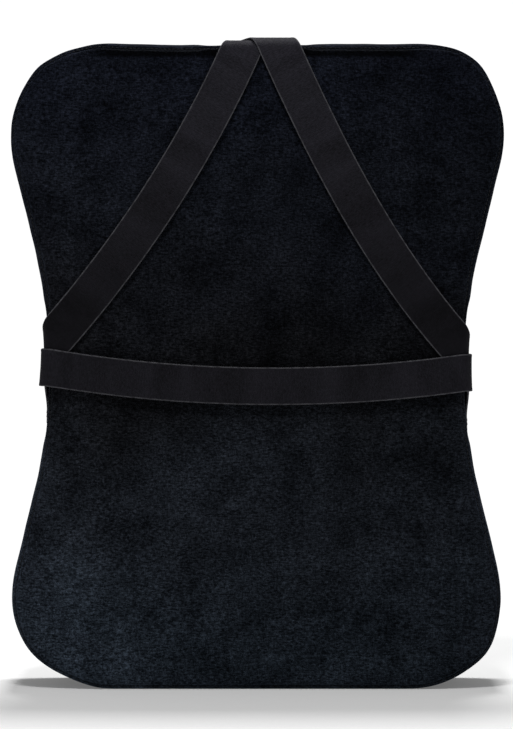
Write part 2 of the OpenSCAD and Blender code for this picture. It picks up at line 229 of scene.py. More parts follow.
class NodeSheet:
    """Short calls for building a node tree."""

    def __init__(self, tree: bpy.types.NodeTree) -> None:
        """Keep the tree that the nodes go into."""
        self.tree = tree

    def add(self, kind: str, **values: object) -> bpy.types.Node:
        """Add a node and set its plain properties."""
        node = self.tree.nodes.new(kind)
        for name, value in values.items():
            setattr(node, name, value)
        return node

    def join(self, source: bpy.types.NodeSocket, target: bpy.types.NodeSocket) -> None:
        """Link two sockets."""
        self.tree.links.new(source, target)

    def feed(self, target: bpy.types.NodeSocket, value: object) -> None:
        """Link a socket to a target, or set the target's own value."""
        if isinstance(value, bpy.types.NodeSocket):
            self.join(value, target)
        else:
            target.default_value = value

    def math(self, operation: str, a: object, b: object = 0.0) -> bpy.types.NodeSocket:
        """A Math node's result."""
        node = self.add("ShaderNodeMath", operation=operation)
        self.feed(node.inputs[0], a)
        self.feed(node.inputs[1], b)
        return node.outputs[0]

    def between(self, value: object, low: float, high: float, to_low: float,
                to_high: float, kind: str = "SMOOTHSTEP") -> bpy.types.NodeSocket:
        """A Map Range node's result."""
        node = self.add("ShaderNodeMapRange", interpolation_type=kind)
        for socket, given in zip(node.inputs[:5], (value, low, high, to_low, to_high)):
            self.feed(socket, given)
        return node.outputs[0]

    def noise(self, vector: object, scale: object, detail: float, rough: float = 0.5) -> bpy.types.NodeSocket:
        """A noise texture's value."""
        node = self.add("ShaderNodeTexNoise")
        self.feed(node.inputs["Vector"], vector)
        self.feed(node.inputs["Scale"], scale)
        node.inputs["Detail"].default_value = detail
        node.inputs["Roughness"].default_value = rough
        return node.outputs[0]

    def stretched(self, vector: object, scale: tuple[float, float, float]) -> bpy.types.NodeSocket:
        """Coordinates scaled apart along each axis."""
        node = self.add("ShaderNodeMapping")
        self.feed(node.inputs["Vector"], vector)
        node.inputs["Scale"].default_value = scale
        return node.outputs[0]

    def shade(self, colour: object, factor: object) -> bpy.types.NodeSocket:
        """A colour multiplied by a factor."""
        node = self.add("ShaderNodeVectorMath", operation="SCALE")
        self.feed(node.inputs[0], colour)
        self.feed(node.inputs["Scale"], factor)
        return node.outputs[0]


class EffectGroups:
    """The shader groups that several finishes share."""

    def __init__(self) -> None:
        """Build each group once."""
        self.mottle = self._mottle()
        self.weave = self._weave()

    @staticmethod
    def _new(name: str, inputs: Sequence[tuple[str, str, float]],
             outputs: Sequence[str]) -> tuple[bpy.types.NodeTree, NodeSheet, bpy.types.Node, bpy.types.Node]:
        """Start a shader group with named sockets.

        Args:
            name: The group's name.
            inputs: Name, socket kind and default of each input.
            outputs: Name of each value output.

        Returns:
            The tree, its sheet, and the input and output nodes.
        """
        tree = bpy.data.node_groups.new(name, "ShaderNodeTree")
        for label, kind, value in inputs:
            socket = tree.interface.new_socket(label, in_out="INPUT", socket_type=kind)
            if kind == "NodeSocketFloat":
                socket.default_value = value
        for label in outputs:
            tree.interface.new_socket(label, in_out="OUTPUT", socket_type="NodeSocketFloat")
        sheet = NodeSheet(tree)
        return tree, sheet, sheet.add("NodeGroupInput"), sheet.add("NodeGroupOutput")

    def _mottle(self) -> bpy.types.NodeTree:
        """Cloudy patches over a finer grain, used on every cloth and on the foam."""
        tree, sheet, start, end = self._new(
            "cloudy_mottle",
            [("Vector", "NodeSocketVector", 0.0), ("Patch Scale", "NodeSocketFloat", 24.0),
             ("Grain Scale", "NodeSocketFloat", 900.0), ("Patch Amount", "NodeSocketFloat", 0.5),
             ("Grain Amount", "NodeSocketFloat", 0.3)],
            ["Factor", "Grain"])
        place_in = start.outputs["Vector"]
        patches = sheet.noise(place_in, start.outputs["Patch Scale"], 5.0, 0.68)
        grain = sheet.noise(place_in, start.outputs["Grain Scale"], 2.0, 0.6)
        patch_part = sheet.math("MULTIPLY", sheet.math("SUBTRACT", patches, 0.5),
                                start.outputs["Patch Amount"])
        grain_part = sheet.math("MULTIPLY", sheet.math("SUBTRACT", grain, 0.5),
                                start.outputs["Grain Amount"])
        total = sheet.math("ADD", sheet.math("ADD", patch_part, grain_part), 1.0)
        sheet.join(sheet.math("MAXIMUM", total, 0.05), end.inputs["Factor"])
        sheet.join(grain, end.inputs["Grain"])
        return tree

    def _weave(self) -> bpy.types.NodeTree:
        """Crossing yarns on a cloth's own flat coordinates, in metres."""
        tree, sheet, start, end = self._new(
            "woven_yarns",
            [("Vector", "NodeSocketVector", 0.0), ("Across Pitch", "NodeSocketFloat", 0.001),
             ("Along Pitch", "NodeSocketFloat", 0.001)],
            ["Height", "Dark"])
        parts = sheet.add("ShaderNodeSeparateXYZ")
        sheet.join(start.outputs["Vector"], parts.inputs[0])
        waves = []
        for axis, pitch in (("X", "Across Pitch"), ("Y", "Along Pitch")):
            turns = sheet.math("DIVIDE", parts.outputs[axis], start.outputs[pitch])
            waves.append(sheet.math("SINE", sheet.math("MULTIPLY", turns, 2.0 * math.pi)))
        crossed = sheet.math("MULTIPLY", waves[0], waves[1])
        height = sheet.math("ADD", sheet.math("MULTIPLY", crossed, 0.35),
                            sheet.math("ADD", sheet.math("MULTIPLY", waves[0], 0.15), 0.5))
        sheet.join(height, end.inputs["Height"])
        sheet.join(sheet.between(height, 0.1, 0.6, 1.0, 0.0), end.inputs["Dark"])
        return tree

    @staticmethod
    def use(sheet: NodeSheet, tree: bpy.types.NodeTree, vector: bpy.types.NodeSocket,
            **values: float) -> bpy.types.Node:
        """Place a group in a material with its own values.

        Args:
            sheet: The material's sheet.
            tree: The group.
            vector: Coordinates to read.
            **values: Input values, named with underscores for spaces.

        Returns:
            The group node.
        """
        node = sheet.add("ShaderNodeGroup")
        node.node_tree = tree
        sheet.join(vector, node.inputs["Vector"])
        for name, value in values.items():
            node.inputs[name.replace("_", " ")].default_value = value
        return node


@dataclass(frozen=True)
class Surface:
    """Uniform values of a Principled surface."""

    roughness: float = 0.9
    specular: float = 0.1
    metallic: float = 0.0
    sheen: float = 0.0
    sheen_roughness: float = 0.5
    sheen_tint: Colour = (1.0, 1.0, 1.0)
    bump: float = 0.3
    bump_depth: float = 0.0003


def new_material(name: str, surface: Surface, view: Colour) -> tuple[bpy.types.Material, NodeSheet,
                                                                     bpy.types.Node, bpy.types.Node]:
    """Start a material with a Principled surface and a bump.

    Args:
        name: The material's name.
        surface: The uniform values.
        view: The plain viewport colour.

    Returns:
        The material, its sheet, the surface node and the bump node.
    """
    material = bpy.data.materials.new(name)
    material.use_nodes = True
    material.diffuse_color = (*view, 1.0)
    sheet = NodeSheet(material.node_tree)
    material.node_tree.nodes.clear()
    end = sheet.add("ShaderNodeOutputMaterial")
    shader = sheet.add("ShaderNodeBsdfPrincipled")
    shader.inputs["Roughness"].default_value = surface.roughness
    shader.inputs["Specular IOR Level"].default_value = surface.specular
    shader.inputs["Metallic"].default_value = surface.metallic
    shader.inputs["Sheen Weight"].default_value = surface.sheen
    shader.inputs["Sheen Roughness"].default_value = surface.sheen_roughness
    shader.inputs["Sheen Tint"].default_value = (*surface.sheen_tint, 1.0)
    bump = sheet.add("ShaderNodeBump")
    bump.inputs["Strength"].default_value = surface.bump
    bump.inputs["Distance"].default_value = surface.bump_depth
    sheet.join(bump.outputs[0], shader.inputs["Normal"])
    sheet.join(shader.outputs[0], end.inputs[0])
    return material, sheet, shader, bump


# ----------------------------------------------------------------- finishes


@dataclass(frozen=True)
class Velour:
    """Blue-black crushed velour with a streaked pile, its tone painted with sheen: dark in the upper part,
    lighter and bluer towards the base and the lower left.
    """

    # Painted sheen tones by height, from the top down to the base; the corner point below is painted lighter
    # still.
    top: Colour = (0.0043, 0.0052, 0.0086)
    shoulder: Colour = (0.0050, 0.0059, 0.0086)
    middle: Colour = (0.0044, 0.0046, 0.0055)
    hip: Colour = (0.0092, 0.0111, 0.0148)
    base: Colour = (0.0116, 0.0155, 0.0212)
    corner: tuple[float, float, float] = (-0.150, 0.0, 0.030)
    corner_reach: float = 0.11
    front_level: float = 0.72
    height: float = 0.43
    half_width: float = 0.165

    def material(self, groups: EffectGroups) -> bpy.types.Material:
        """Build the pile: streaks and crushed patches, a painted sheen that grows lighter and bluer towards
        the base and the lower left, and a painted shade line under the top seam.
        """
        surface = Surface(roughness=0.95, specular=0.02, sheen=0.04, sheen_roughness=0.4,
                          sheen_tint=(0.45, 0.6, 0.9), bump=0.8, bump_depth=0.0005)
        material, sheet, shader, bump = new_material("velour_pile", surface, self.middle)
        place_in = sheet.add("ShaderNodeTexCoord").outputs["Object"]
        parts = sheet.add("ShaderNodeSeparateXYZ")
        sheet.join(place_in, parts.inputs[0])
        # Painted sheen: the tone runs with height from the dark upper colours to the lighter, bluer base
        # colours, and is held at one level on the front face.
        ramp = sheet.add("ShaderNodeValToRGB")
        ramp.color_ramp.interpolation = "EASE"
        stops = [(0.0, self.base), (0.28, self.hip), (0.5, self.middle), (0.75, self.shoulder),
                 (1.0, self.top)]
        while len(ramp.color_ramp.elements) < len(stops):
            ramp.color_ramp.elements.new(0.5)
        for element, (position, colour) in zip(ramp.color_ramp.elements, stops):
            element.position = position
            element.color = (*colour, 1.0)
        drift = sheet.noise(place_in, 9.0, 2.0)
        level = sheet.math("ADD", sheet.math("DIVIDE", parts.outputs["Z"], self.height),
                           sheet.math("MULTIPLY", sheet.math("SUBTRACT", drift, 0.5), 0.35))
        forward = sheet.between(parts.outputs["Y"], 0.02, 0.07, 0.0, 1.0)
        evened = sheet.math("SUBTRACT", self.front_level,
                            sheet.math("DIVIDE", parts.outputs["Z"], self.height))
        level = sheet.math("ADD", level, sheet.math("MULTIPLY", forward, evened))
        sheet.join(level, ramp.inputs[0])
        # Painted sheen across: lighter towards the left (-X), darker towards the right.
        painted_sheen_across = sheet.between(parts.outputs["X"], -self.half_width, self.half_width, 1.28, 0.82, "LINEAR")
        cloudy = EffectGroups.use(sheet, groups.mottle, place_in, Patch_Scale=30.0, Grain_Scale=1250.0,
                                  Patch_Amount=3.0, Grain_Amount=1.6)
        lying = sheet.noise(sheet.stretched(place_in, (350.0, 600.0, 900.0)), 1.0, 2.0, 0.65)
        standing = sheet.noise(sheet.stretched(place_in, (900.0, 600.0, 400.0)), 1.0, 2.0, 0.65)
        dashes = sheet.math("MINIMUM", sheet.between(lying, 0.34, 0.56, 0.22, 1.0),
                            sheet.between(standing, 0.32, 0.52, 0.4, 1.0))
        tips = sheet.math("ADD", sheet.between(lying, 0.5, 0.75, 0.0, 1.0),
                          sheet.between(standing, 0.5, 0.75, 0.0, 0.8))
        streaks = sheet.math("ADD", dashes, tips)
        # Painted sheen: lighter still round a point at the lower-left corner.
        apart = sheet.add("ShaderNodeVectorMath", operation="DISTANCE")
        sheet.join(place_in, apart.inputs[0])
        apart.inputs[1].default_value = self.corner
        painted_sheen_corner = sheet.between(apart.outputs["Value"], 0.02, self.corner_reach, 1.55, 1.0)
        # Painted shade: a dark band on the back just under the top seam, about 421 to 429 mm high, fading out
        # between 95 and 120 mm from the middle.
        inside = sheet.between(parts.outputs["Y"], 0.001, 0.007, 1.0, 0.0)
        top_seam_shade_band = sheet.math("MULTIPLY", sheet.between(parts.outputs["Z"], 0.4205, 0.4235, 0.0, 1.0),
                             sheet.between(parts.outputs["Z"], 0.4275, 0.4295, 1.0, 0.0))
        wide = sheet.between(sheet.math("ABSOLUTE", parts.outputs["X"]), 0.095, 0.12, 1.0, 0.0)
        line = sheet.math("MULTIPLY", sheet.math("MULTIPLY", top_seam_shade_band, wide), inside)
        shadow = sheet.math("SUBTRACT", 1.0, sheet.math("MULTIPLY", line, 0.85))
        factor = sheet.math("MULTIPLY", sheet.math("MULTIPLY", cloudy.outputs["Factor"], streaks), painted_sheen_across)
        factor = sheet.math("MULTIPLY", sheet.math("MULTIPLY", factor, painted_sheen_corner), shadow)
        sheet.join(sheet.shade(ramp.outputs[0], factor), shader.inputs["Base Color"])
        relief = sheet.math("ADD", sheet.math("MULTIPLY", streaks, 0.6),
                            sheet.math("MULTIPLY", cloudy.outputs["Grain"], 0.5))
        sheet.join(relief, bump.inputs["Height"])
        sheet.join(sheet.between(cloudy.outputs["Factor"], 0.6, 1.4, 1.0, 0.86), shader.inputs["Roughness"])
        return material


@dataclass(frozen=True)
class Webbing:
    """Black elastic webbing with paler edge yarns, made paler still by a painted highlight."""

    name: str = "webbing_elastic"
    yarn: Colour = (0.0074, 0.0071, 0.0094)
    # Edge colour: partly the real paler edge yarns, partly a painted highlight where the rounded edges catch
    # light.
    selvedge_and_highlight: Colour = (0.058, 0.058, 0.064)
    half_width: float = 0.0135
    # Painted light: the tone is scaled from the low factor to the high one between these heights in metres,
    # lighter higher up.
    painted_light_low: float = 1.0
    painted_light_high: float = 1.0
    painted_light_span: tuple[float, float] = (0.24, 0.42)

    def material(self, groups: EffectGroups) -> bpy.types.Material:
        """Build the fine ribs, the paler edge yarns with a painted highlight on them, a little lint, and a
        painted light that can make the strap lighter towards the top.
        """
        surface = Surface(roughness=0.72, specular=0.05, sheen=0.012, sheen_roughness=0.4,
                          sheen_tint=(0.8, 0.8, 0.9), bump=0.5, bump_depth=0.0003)
        material, sheet, shader, bump = new_material(self.name, surface, self.yarn)
        flat = sheet.add("ShaderNodeUVMap", uv_map="cloth").outputs[0]
        parts = sheet.add("ShaderNodeSeparateXYZ")
        sheet.join(flat, parts.inputs[0])
        cloth = EffectGroups.use(sheet, groups.weave, flat, Across_Pitch=0.0009, Along_Pitch=0.0011)
        banded = sheet.stretched(flat, (0.4, 1.0, 1.0))
        cloudy = EffectGroups.use(sheet, groups.mottle, banded, Patch_Scale=32.0, Grain_Scale=1100.0,
                                  Patch_Amount=2.3, Grain_Amount=2.2)
        out = sheet.math("ABSOLUTE", parts.outputs["X"])
        # Pale edges, partly painted highlight, broken up in places by the noise below.
        edge = sheet.between(out, self.half_width - 0.0011, self.half_width - 0.0004, 0.0, 1.0)
        worn = sheet.noise(sheet.stretched(flat, (900.0, 260.0, 1.0)), 1.0, 2.0)
        edge = sheet.math("MULTIPLY", edge, sheet.between(worn, 0.3, 0.62, 0.35, 1.0))
        shadow = sheet.between(cloth.outputs["Dark"], 0.0, 1.0, 1.08, 0.74, "LINEAR")
        # Painted light by height: lighter near the top of the cushion, darker lower down.
        upright = sheet.add("ShaderNodeSeparateXYZ")
        sheet.join(sheet.add("ShaderNodeTexCoord").outputs["Object"], upright.inputs[0])
        slope = sheet.between(upright.outputs["Z"], *self.painted_light_span, self.painted_light_low, self.painted_light_high,
                              "LINEAR")
        worked = sheet.math("MULTIPLY", sheet.math("MULTIPLY", cloudy.outputs["Factor"], shadow), slope)
        tone = sheet.shade(self.yarn, worked)
        mix = sheet.add("ShaderNodeMix", data_type="RGBA")
        sheet.join(edge, mix.inputs[0])
        sheet.join(tone, mix.inputs[6])
        mix.inputs[7].default_value = (*self.selvedge_and_highlight, 1.0)
        sheet.join(mix.outputs[2], shader.inputs["Base Color"])
        sheet.join(cloth.outputs["Height"], bump.inputs["Height"])
        sheet.join(sheet.between(cloudy.outputs["Grain"], 0.3, 0.7, 0.66, 0.84), shader.inputs["Roughness"])
        return material


@dataclass(frozen=True)
class PlainCloth:
    """A woven or knitted cloth read on Object coordinates: liner, zip tape or thread."""

    name: str
    colour: Colour
    pitch: float = 0.0008
    roughness: float = 0.85
    specular: float = 0.2

    def material(self, groups: EffectGroups) -> bpy.types.Material:
        """Build the yarns and the uneven dye."""
        surface = Surface(roughness=self.roughness, specular=self.specular, sheen=0.05, bump=0.4,
                          bump_depth=0.0002)
        material, sheet, shader, bump = new_material(self.name, surface, self.colour)
        place_in = sheet.add("ShaderNodeTexCoord").outputs["Object"]
        cloth = EffectGroups.use(sheet, groups.weave, place_in, Across_Pitch=self.pitch,
                                 Along_Pitch=self.pitch)
        cloudy = EffectGroups.use(sheet, groups.mottle, place_in, Patch_Scale=60.0, Grain_Scale=1400.0,
                                  Patch_Amount=0.25, Grain_Amount=0.3)
        shadow = sheet.between(cloth.outputs["Dark"], 0.0, 1.0, 1.05, 0.8, "LINEAR")
        tone = sheet.shade(self.colour, sheet.math("MULTIPLY", cloudy.outputs["Factor"], shadow))
        sheet.join(tone, shader.inputs["Base Color"])
        sheet.join(cloth.outputs["Height"], bump.inputs["Height"])
        sheet.join(sheet.between(cloudy.outputs["Grain"], 0.3, 0.7, self.roughness - 0.06,
                                 self.roughness + 0.06), shader.inputs["Roughness"])
        return material


@dataclass(frozen=True)
class FoamFinish:
    """Moulded memory foam with an open skin."""

    colour: Colour = (0.72, 0.68, 0.58)

    def material(self, groups: EffectGroups) -> bpy.types.Material:
        """Build the pores and the uneven yellowing."""
        surface = Surface(roughness=0.92, specular=0.15, bump=0.6, bump_depth=0.0005)
        material, sheet, shader, bump = new_material("memory_foam", surface, self.colour)
        place_in = sheet.add("ShaderNodeTexCoord").outputs["Object"]
        cells = sheet.add("ShaderNodeTexVoronoi")
        sheet.join(place_in, cells.inputs["Vector"])
        cells.inputs["Scale"].default_value = 620.0
        cloudy = EffectGroups.use(sheet, groups.mottle, place_in, Patch_Scale=14.0, Grain_Scale=700.0,
                                  Patch_Amount=0.3, Grain_Amount=0.15)
        pores = sheet.between(cells.outputs["Distance"], 0.05, 0.4, 0.72, 1.0)
        sheet.join(sheet.shade(self.colour, sheet.math("MULTIPLY", cloudy.outputs["Factor"], pores)),
                   shader.inputs["Base Color"])
        sheet.join(pores, bump.inputs["Height"])
        return material


@dataclass(frozen=True)
class ZipHardware:
    """Black nylon or painted metal, rubbed pale where it is handled."""

    name: str
    paint: Colour
    bare: Colour
    metallic: float
    roughness: float

    def material(self, groups: EffectGroups) -> bpy.types.Material:
        """Build the paint, its rubbed patches and fine scratches."""
        surface = Surface(roughness=self.roughness, specular=0.5, metallic=0.0, bump=0.15, bump_depth=0.0001)
        material, sheet, shader, bump = new_material(self.name, surface, self.paint)
        place_in = sheet.add("ShaderNodeTexCoord").outputs["Object"]
        cloudy = EffectGroups.use(sheet, groups.mottle, place_in, Patch_Scale=320.0, Grain_Scale=2600.0,
                                  Patch_Amount=0.4, Grain_Amount=0.3)
        scratches = sheet.noise(sheet.stretched(place_in, (300.0, 4200.0, 4200.0)), 1.0, 2.0)
        worn = sheet.math("MULTIPLY", sheet.between(cloudy.outputs["Factor"], 1.05, 1.2, 0.0, 1.0),
                          sheet.between(scratches, 0.5, 0.65, 0.2, 1.0))
        mix = sheet.add("ShaderNodeMix", data_type="RGBA")
        sheet.join(worn, mix.inputs[0])
        mix.inputs[6].default_value = (*self.paint, 1.0)
        mix.inputs[7].default_value = (*self.bare, 1.0)
        sheet.join(mix.outputs[2], shader.inputs["Base Color"])
        sheet.join(sheet.math("MULTIPLY", worn, self.metallic), shader.inputs["Metallic"])
        sheet.join(sheet.between(cloudy.outputs["Grain"], 0.3, 0.7, self.roughness - 0.08,
                                 self.roughness + 0.08), shader.inputs["Roughness"])
        sheet.join(scratches, bump.inputs["Height"])
        return material


# ------------------------------------------------------------ cushion shape


@dataclass(frozen=True)
class Outline:
    """The hourglass outline and the depth of the cushion, in millimetres."""

    height: float = 430.0
    upper_width: float = 330.0
    lower_width: float = 327.0
    waist_width: float = 277.0
    waist_z: float = 215.0
    corner: float = 60.0
    flank: float = 60.0
    base_depth: float = 84.0
    lumbar_depth: float = 104.0
    lumbar_z: float = 150.0
    top_depth: float = 56.0
    bulges: tuple[tuple[float, float, float, float], ...] = (
        (140.0, 418.0, 25.0, 5.2), (-146.0, 415.0, 12.0, 1.6), (153.0, 26.0, 18.0, 2.2),
        (-128.0, 7.0, 22.0, -3.0), (-164.0, 382.0, 28.0, -1.4), (-152.0, 312.0, 40.0, -0.9),
        (-60.0, 430.0, 16.0, -0.8), (-104.0, 431.0, 10.0, 0.8))
    straight_cells: int = 19
    corner_cells: int = 9
    side_cells: int = 72

    @property
    def count(self) -> int:
        """Points round the outline."""
        return 2 * (2 * self.straight_cells + 2 * self.corner_cells + self.side_cells)

    @property
    def lower_centre(self) -> np.ndarray:
        """Centre of the right lower corner."""
        return np.array([self.lower_width / 2 - self.corner, self.corner])

    @property
    def upper_centre(self) -> np.ndarray:
        """Centre of the right upper corner."""
        return np.array([self.upper_width / 2 - self.corner, self.height - self.corner])

    def bend(self, centre: np.ndarray) -> float:
        """Radius of the waist curve that leaves the straight flank to a corner."""
        dx = self.waist_width / 2 - centre[0]
        dz = self.waist_z - centre[1]
        return (dx * dx + dz * dz - self.flank ** 2 - self.corner ** 2) / (2 * (self.corner - dx))

    def lean(self, centre: np.ndarray) -> float:
        """Lean of the flank from the vertical, in radians."""
        bend = self.bend(centre)
        dx = self.waist_width / 2 + bend - centre[0]
        dz = abs(self.waist_z - centre[1])
        return math.atan2(dz, dx) - math.atan2(self.flank, self.corner + bend)

    def side_x(self, z: np.ndarray) -> np.ndarray:
        """Half-width of the outline between the corners."""
        z = np.asarray(z, float)
        low = z < self.waist_z
        bend = np.where(low, self.bend(self.lower_centre), self.bend(self.upper_centre))
        lean = np.where(low, self.lean(self.lower_centre), self.lean(self.upper_centre))
        h = np.abs(z - self.waist_z)
        on_arc = np.minimum(h, bend * np.sin(lean))
        return self.waist_width / 2 + bend - np.sqrt(bend ** 2 - on_arc ** 2) + (h - on_arc) * np.tan(lean)

    def front_y(self, z: np.ndarray) -> np.ndarray:
        """Depth of the front face at a height."""
        z = np.clip(z, 0.0, self.height)
        low = (1 - np.cos(np.pi * np.clip(z / self.lumbar_z, 0, 1))) / 2
        high = (1 - np.cos(np.pi * np.clip((self.height - z) / (self.height - self.lumbar_z), 0, 1))) / 2
        return np.where(z < self.lumbar_z,
                        self.base_depth + (self.lumbar_depth - self.base_depth) * low,
                        self.top_depth + (self.lumbar_depth - self.top_depth) * high)

    def _side_run(self) -> tuple[np.ndarray, np.ndarray]:
        """Dense points and normals down the right side, from one corner's middle to the other's."""
        points: list[np.ndarray] = []
        normals: list[np.ndarray] = []

        def sweep(centre: np.ndarray, radius: float, start: float, stop: float, sign: float) -> None:
            for angle in np.linspace(start, stop, 60):
                way = np.array([math.cos(angle), math.sin(angle)])
                points.append(centre + radius * way)
                normals.append(sign * way)

        upper, lower = self.upper_centre, self.lower_centre
        upper_lean, lower_lean = self.lean(upper), self.lean(lower)
        for centre, lean, upward in ((upper, upper_lean, True), (lower, lower_lean, False)):
            bend = self.bend(centre)
            waist = np.array([self.waist_width / 2 + bend, self.waist_z])
            if upward:
                sweep(centre, self.corner, math.pi / 4, -lean, 1.0)
                sweep(waist, bend, math.pi - lean, math.pi, -1.0)
            else:
                sweep(waist, bend, math.pi, math.pi + lean, -1.0)
                sweep(centre, self.corner, lean, -math.pi / 4, 1.0)
        return np.array(points), np.array(normals)

    def loop(self) -> tuple[np.ndarray, np.ndarray]:
        """Points and outward normals round the outline, from the middle of the top, clockwise from behind."""
        side, side_normals = self._side_run()
        gaps = np.linalg.norm(np.diff(side, axis=0), axis=1)
        run = np.concatenate([[0.0], np.cumsum(gaps)])
        at = np.linspace(0.0, run[-1], self.side_cells + 1)
        keep = np.concatenate([[True], gaps > 1e-9])
        run, side, side_normals = run[keep], side[keep], side_normals[keep]
        points = [np.array([x, self.height])
                  for x in np.linspace(0, self.upper_centre[0], self.straight_cells + 1)]
        normals = [np.array([0.0, 1.0])] * len(points)
        for angle in np.linspace(math.pi / 2, math.pi / 4, self.corner_cells + 1)[1:-1]:
            way = np.array([math.cos(angle), math.sin(angle)])
            points.append(self.upper_centre + self.corner * way)
            normals.append(way)
        for here in at:
            points.append(np.array([np.interp(here, run, side[:, k]) for k in (0, 1)]))
            normal = np.array([np.interp(here, run, side_normals[:, k]) for k in (0, 1)])
            normals.append(normal / np.linalg.norm(normal))
        for angle in np.linspace(-math.pi / 4, -math.pi / 2, self.corner_cells + 1)[1:]:
            way = np.array([math.cos(angle), math.sin(angle)])
            points.append(self.lower_centre + self.corner * way)
            normals.append(way)
        for x in np.linspace(self.lower_centre[0], 0, self.straight_cells + 1)[1:]:
            points.append(np.array([x, 0.0]))
            normals.append(np.array([0.0, -1.0]))
        right, right_normals = np.array(points), np.array(normals)
        flip = np.array([-1.0, 1.0])
        left, left_normals = right[-2:0:-1] * flip, right_normals[-2:0:-1] * flip
        return np.vstack([right, left]), np.vstack([right_normals, left_normals])


@dataclass
class CushionForm:
    """One closed skin over the cushion, laid out in loops from the back to the front."""

    outline: Outline
    inset: float = 0.0
    roll: float = 5.5
    seam_dip: float = 1.7
    rings: int = 12
    grid_half: tuple[float, float] = (88.0, 140.0)
    channel: tuple[float, float] = CHANNEL_EDGES
    wavy: float = 0.55
    points: np.ndarray = field(init=False)
    faces: list[list[int]] = field(init=False)
    regions: list[int] = field(init=False)
    fixed: np.ndarray = field(init=False)

    ROLL_ANGLES = (0.0, 20.0, 36.0, 44.0, 50.0, 56.0, 68.0, 90.0)
    SEAM_ANGLE = 50.0
    FLAT_INSETS = (12.0, 9.0, 7.2)

    def __post_init__(self) -> None:
        """Lay out the points, the faces and their regions."""
        self._blocks: list[np.ndarray] = []
        self._made = 0
        self.faces = []
        self.regions = []
        self._pins: list[int] = []
        self._edge, self._out = self.outline.loop()
        self._edge = self._edge + self._out * self._waves()[:, None]
        back, back_grid = self._panel(front=False)
        front, front_grid = self._panel(front=True)
        band = self._band(back[-1], front[-1])
        self._skin(back_grid, back, front_grid, front, band)
        self.points = np.vstack(self._blocks)
        self.fixed = np.zeros(len(self.points), bool)
        self.fixed[self._pins] = True

    def _waves(self) -> np.ndarray:
        """Small hand-sewn waves in the outline, none along the base."""
        wobble = np.array([ripple(p[0], 0.0, p[1], 34.0, 3.7) + 0.6 * ripple(p[0], 0.0, p[1], 15.0, 8.1)
                           for p in self._edge])
        quiet = ease((self._edge[:, 1] - 6.0) / 40.0)
        straps = 1.0 - 0.75 * np.exp(-((self._edge[:, 1] - 215.0) / 42.0) ** 2)
        hand = wobble * self.wavy * quiet * straps
        firm = np.where(self._edge[:, 1] < 1.0, ease((np.abs(self._edge[:, 0]) - 98.0) / 16.0), 1.0)
        for x, z, spread, amount in self.outline.bulges:
            gap = np.hypot(self._edge[:, 0] - x, self._edge[:, 1] - z)
            hand = hand + amount * firm * np.exp(-((gap / spread) ** 2))
        return hand

    def _add(self, points: np.ndarray) -> np.ndarray:
        """Store points and return their numbers."""
        numbers = np.arange(self._made, self._made + len(points))
        self._made += len(points)
        self._blocks.append(np.asarray(points, float))
        return numbers

    def _depth(self, flat: np.ndarray, drop: float, front: bool) -> np.ndarray:
        """Put flat points on the back or front face, drop millimetres below its top."""
        if front:
            y = self.outline.front_y(flat[:, 1]) - drop - self.inset
        else:
            y = np.full(len(flat), drop + self.inset)
        return np.column_stack([flat[:, 0], y, flat[:, 1]])

    def seam_line(self, front: bool, rise: float) -> tuple[np.ndarray, np.ndarray]:
        """The closed line along the bottom of a panel's seam.

        Args:
            front: Whether it is the front panel's seam.
            rise: Height of the line over the seam's bottom.

        Returns:
            The line's points and the outward direction at each.
        """
        turn = math.radians(self.SEAM_ANGLE)
        arm = self.roll - self.seam_dip + rise
        ring = self._edge - self._out * (self.roll - arm * math.sin(turn))
        line = self._depth(ring, self.roll - arm * math.cos(turn), front)
        facing = math.cos(turn) if front else -math.cos(turn)
        outward = np.column_stack([self._out[:, 0] * math.sin(turn), np.full(len(ring), facing),
                                   self._out[:, 1] * math.sin(turn)])
        return np.vstack([line, line[:1]]), np.vstack([outward, outward[:1]])

    def _panel(self, front: bool) -> tuple[list[np.ndarray], np.ndarray]:
        """One face: its inner grid, the rings out to its edge, and the rolled edge.

        Args:
            front: Whether this is the front face.

        Returns:
            The loops from the inside out, and the grid's numbers as columns by rows.
        """
        half_x, half_z = self.grid_half
        columns = 2 * (self.outline.straight_cells + self.outline.corner_cells)
        rows = self.outline.side_cells
        xs = np.linspace(-half_x, half_x, columns + 1)
        zs = self.outline.waist_z + np.linspace(-half_z, half_z, rows + 1)
        gx, gz = np.meshgrid(xs, zs, indexing="ij")
        flat = np.column_stack([gx.ravel(), gz.ravel()])
        grid = self._add(self._depth(flat, 0.0, front)).reshape(columns + 1, rows + 1)
        middle = columns // 2
        rim = np.concatenate([grid[middle:, rows], grid[columns, rows - 1::-1],
                              grid[columns - 1::-1, 0], grid[0, 1:], grid[1:middle, rows]])
        rim_flat = flat[rim - grid[0, 0]]
        radius = max(self.roll - self.inset, 1.0)
        goal = self._edge - self._out * (self.inset + self.FLAT_INSETS[0] + radius)
        loops = [rim]
        for k in range(1, self.rings + 1):
            share = k / self.rings
            loops.append(self._add(self._depth(rim_flat * (1 - share) + goal * share, 0.0, front)))
        for inset in self.FLAT_INSETS[1:]:
            flat_ring = self._edge - self._out * (self.inset + inset)
            loops.append(self._add(self._depth(flat_ring, 0.0, front)))
        for angle in self.ROLL_ANGLES:
            turn = math.radians(angle)
            dip = self.seam_dip * {self.SEAM_ANGLE: 1.0, 44.0: 0.32, 56.0: 0.32}.get(angle, 0.0)
            reach = radius - (radius - dip) * math.sin(turn)
            drop = radius - (radius - dip) * math.cos(turn)
            ring = self._edge - self._out * (self.inset + reach)
            numbers = self._add(self._depth(ring, drop, front))
            if angle == self.SEAM_ANGLE:
                self._pins.extend(numbers.tolist())
                self._seam_at = len(loops)
            loops.append(numbers)
        return loops, grid

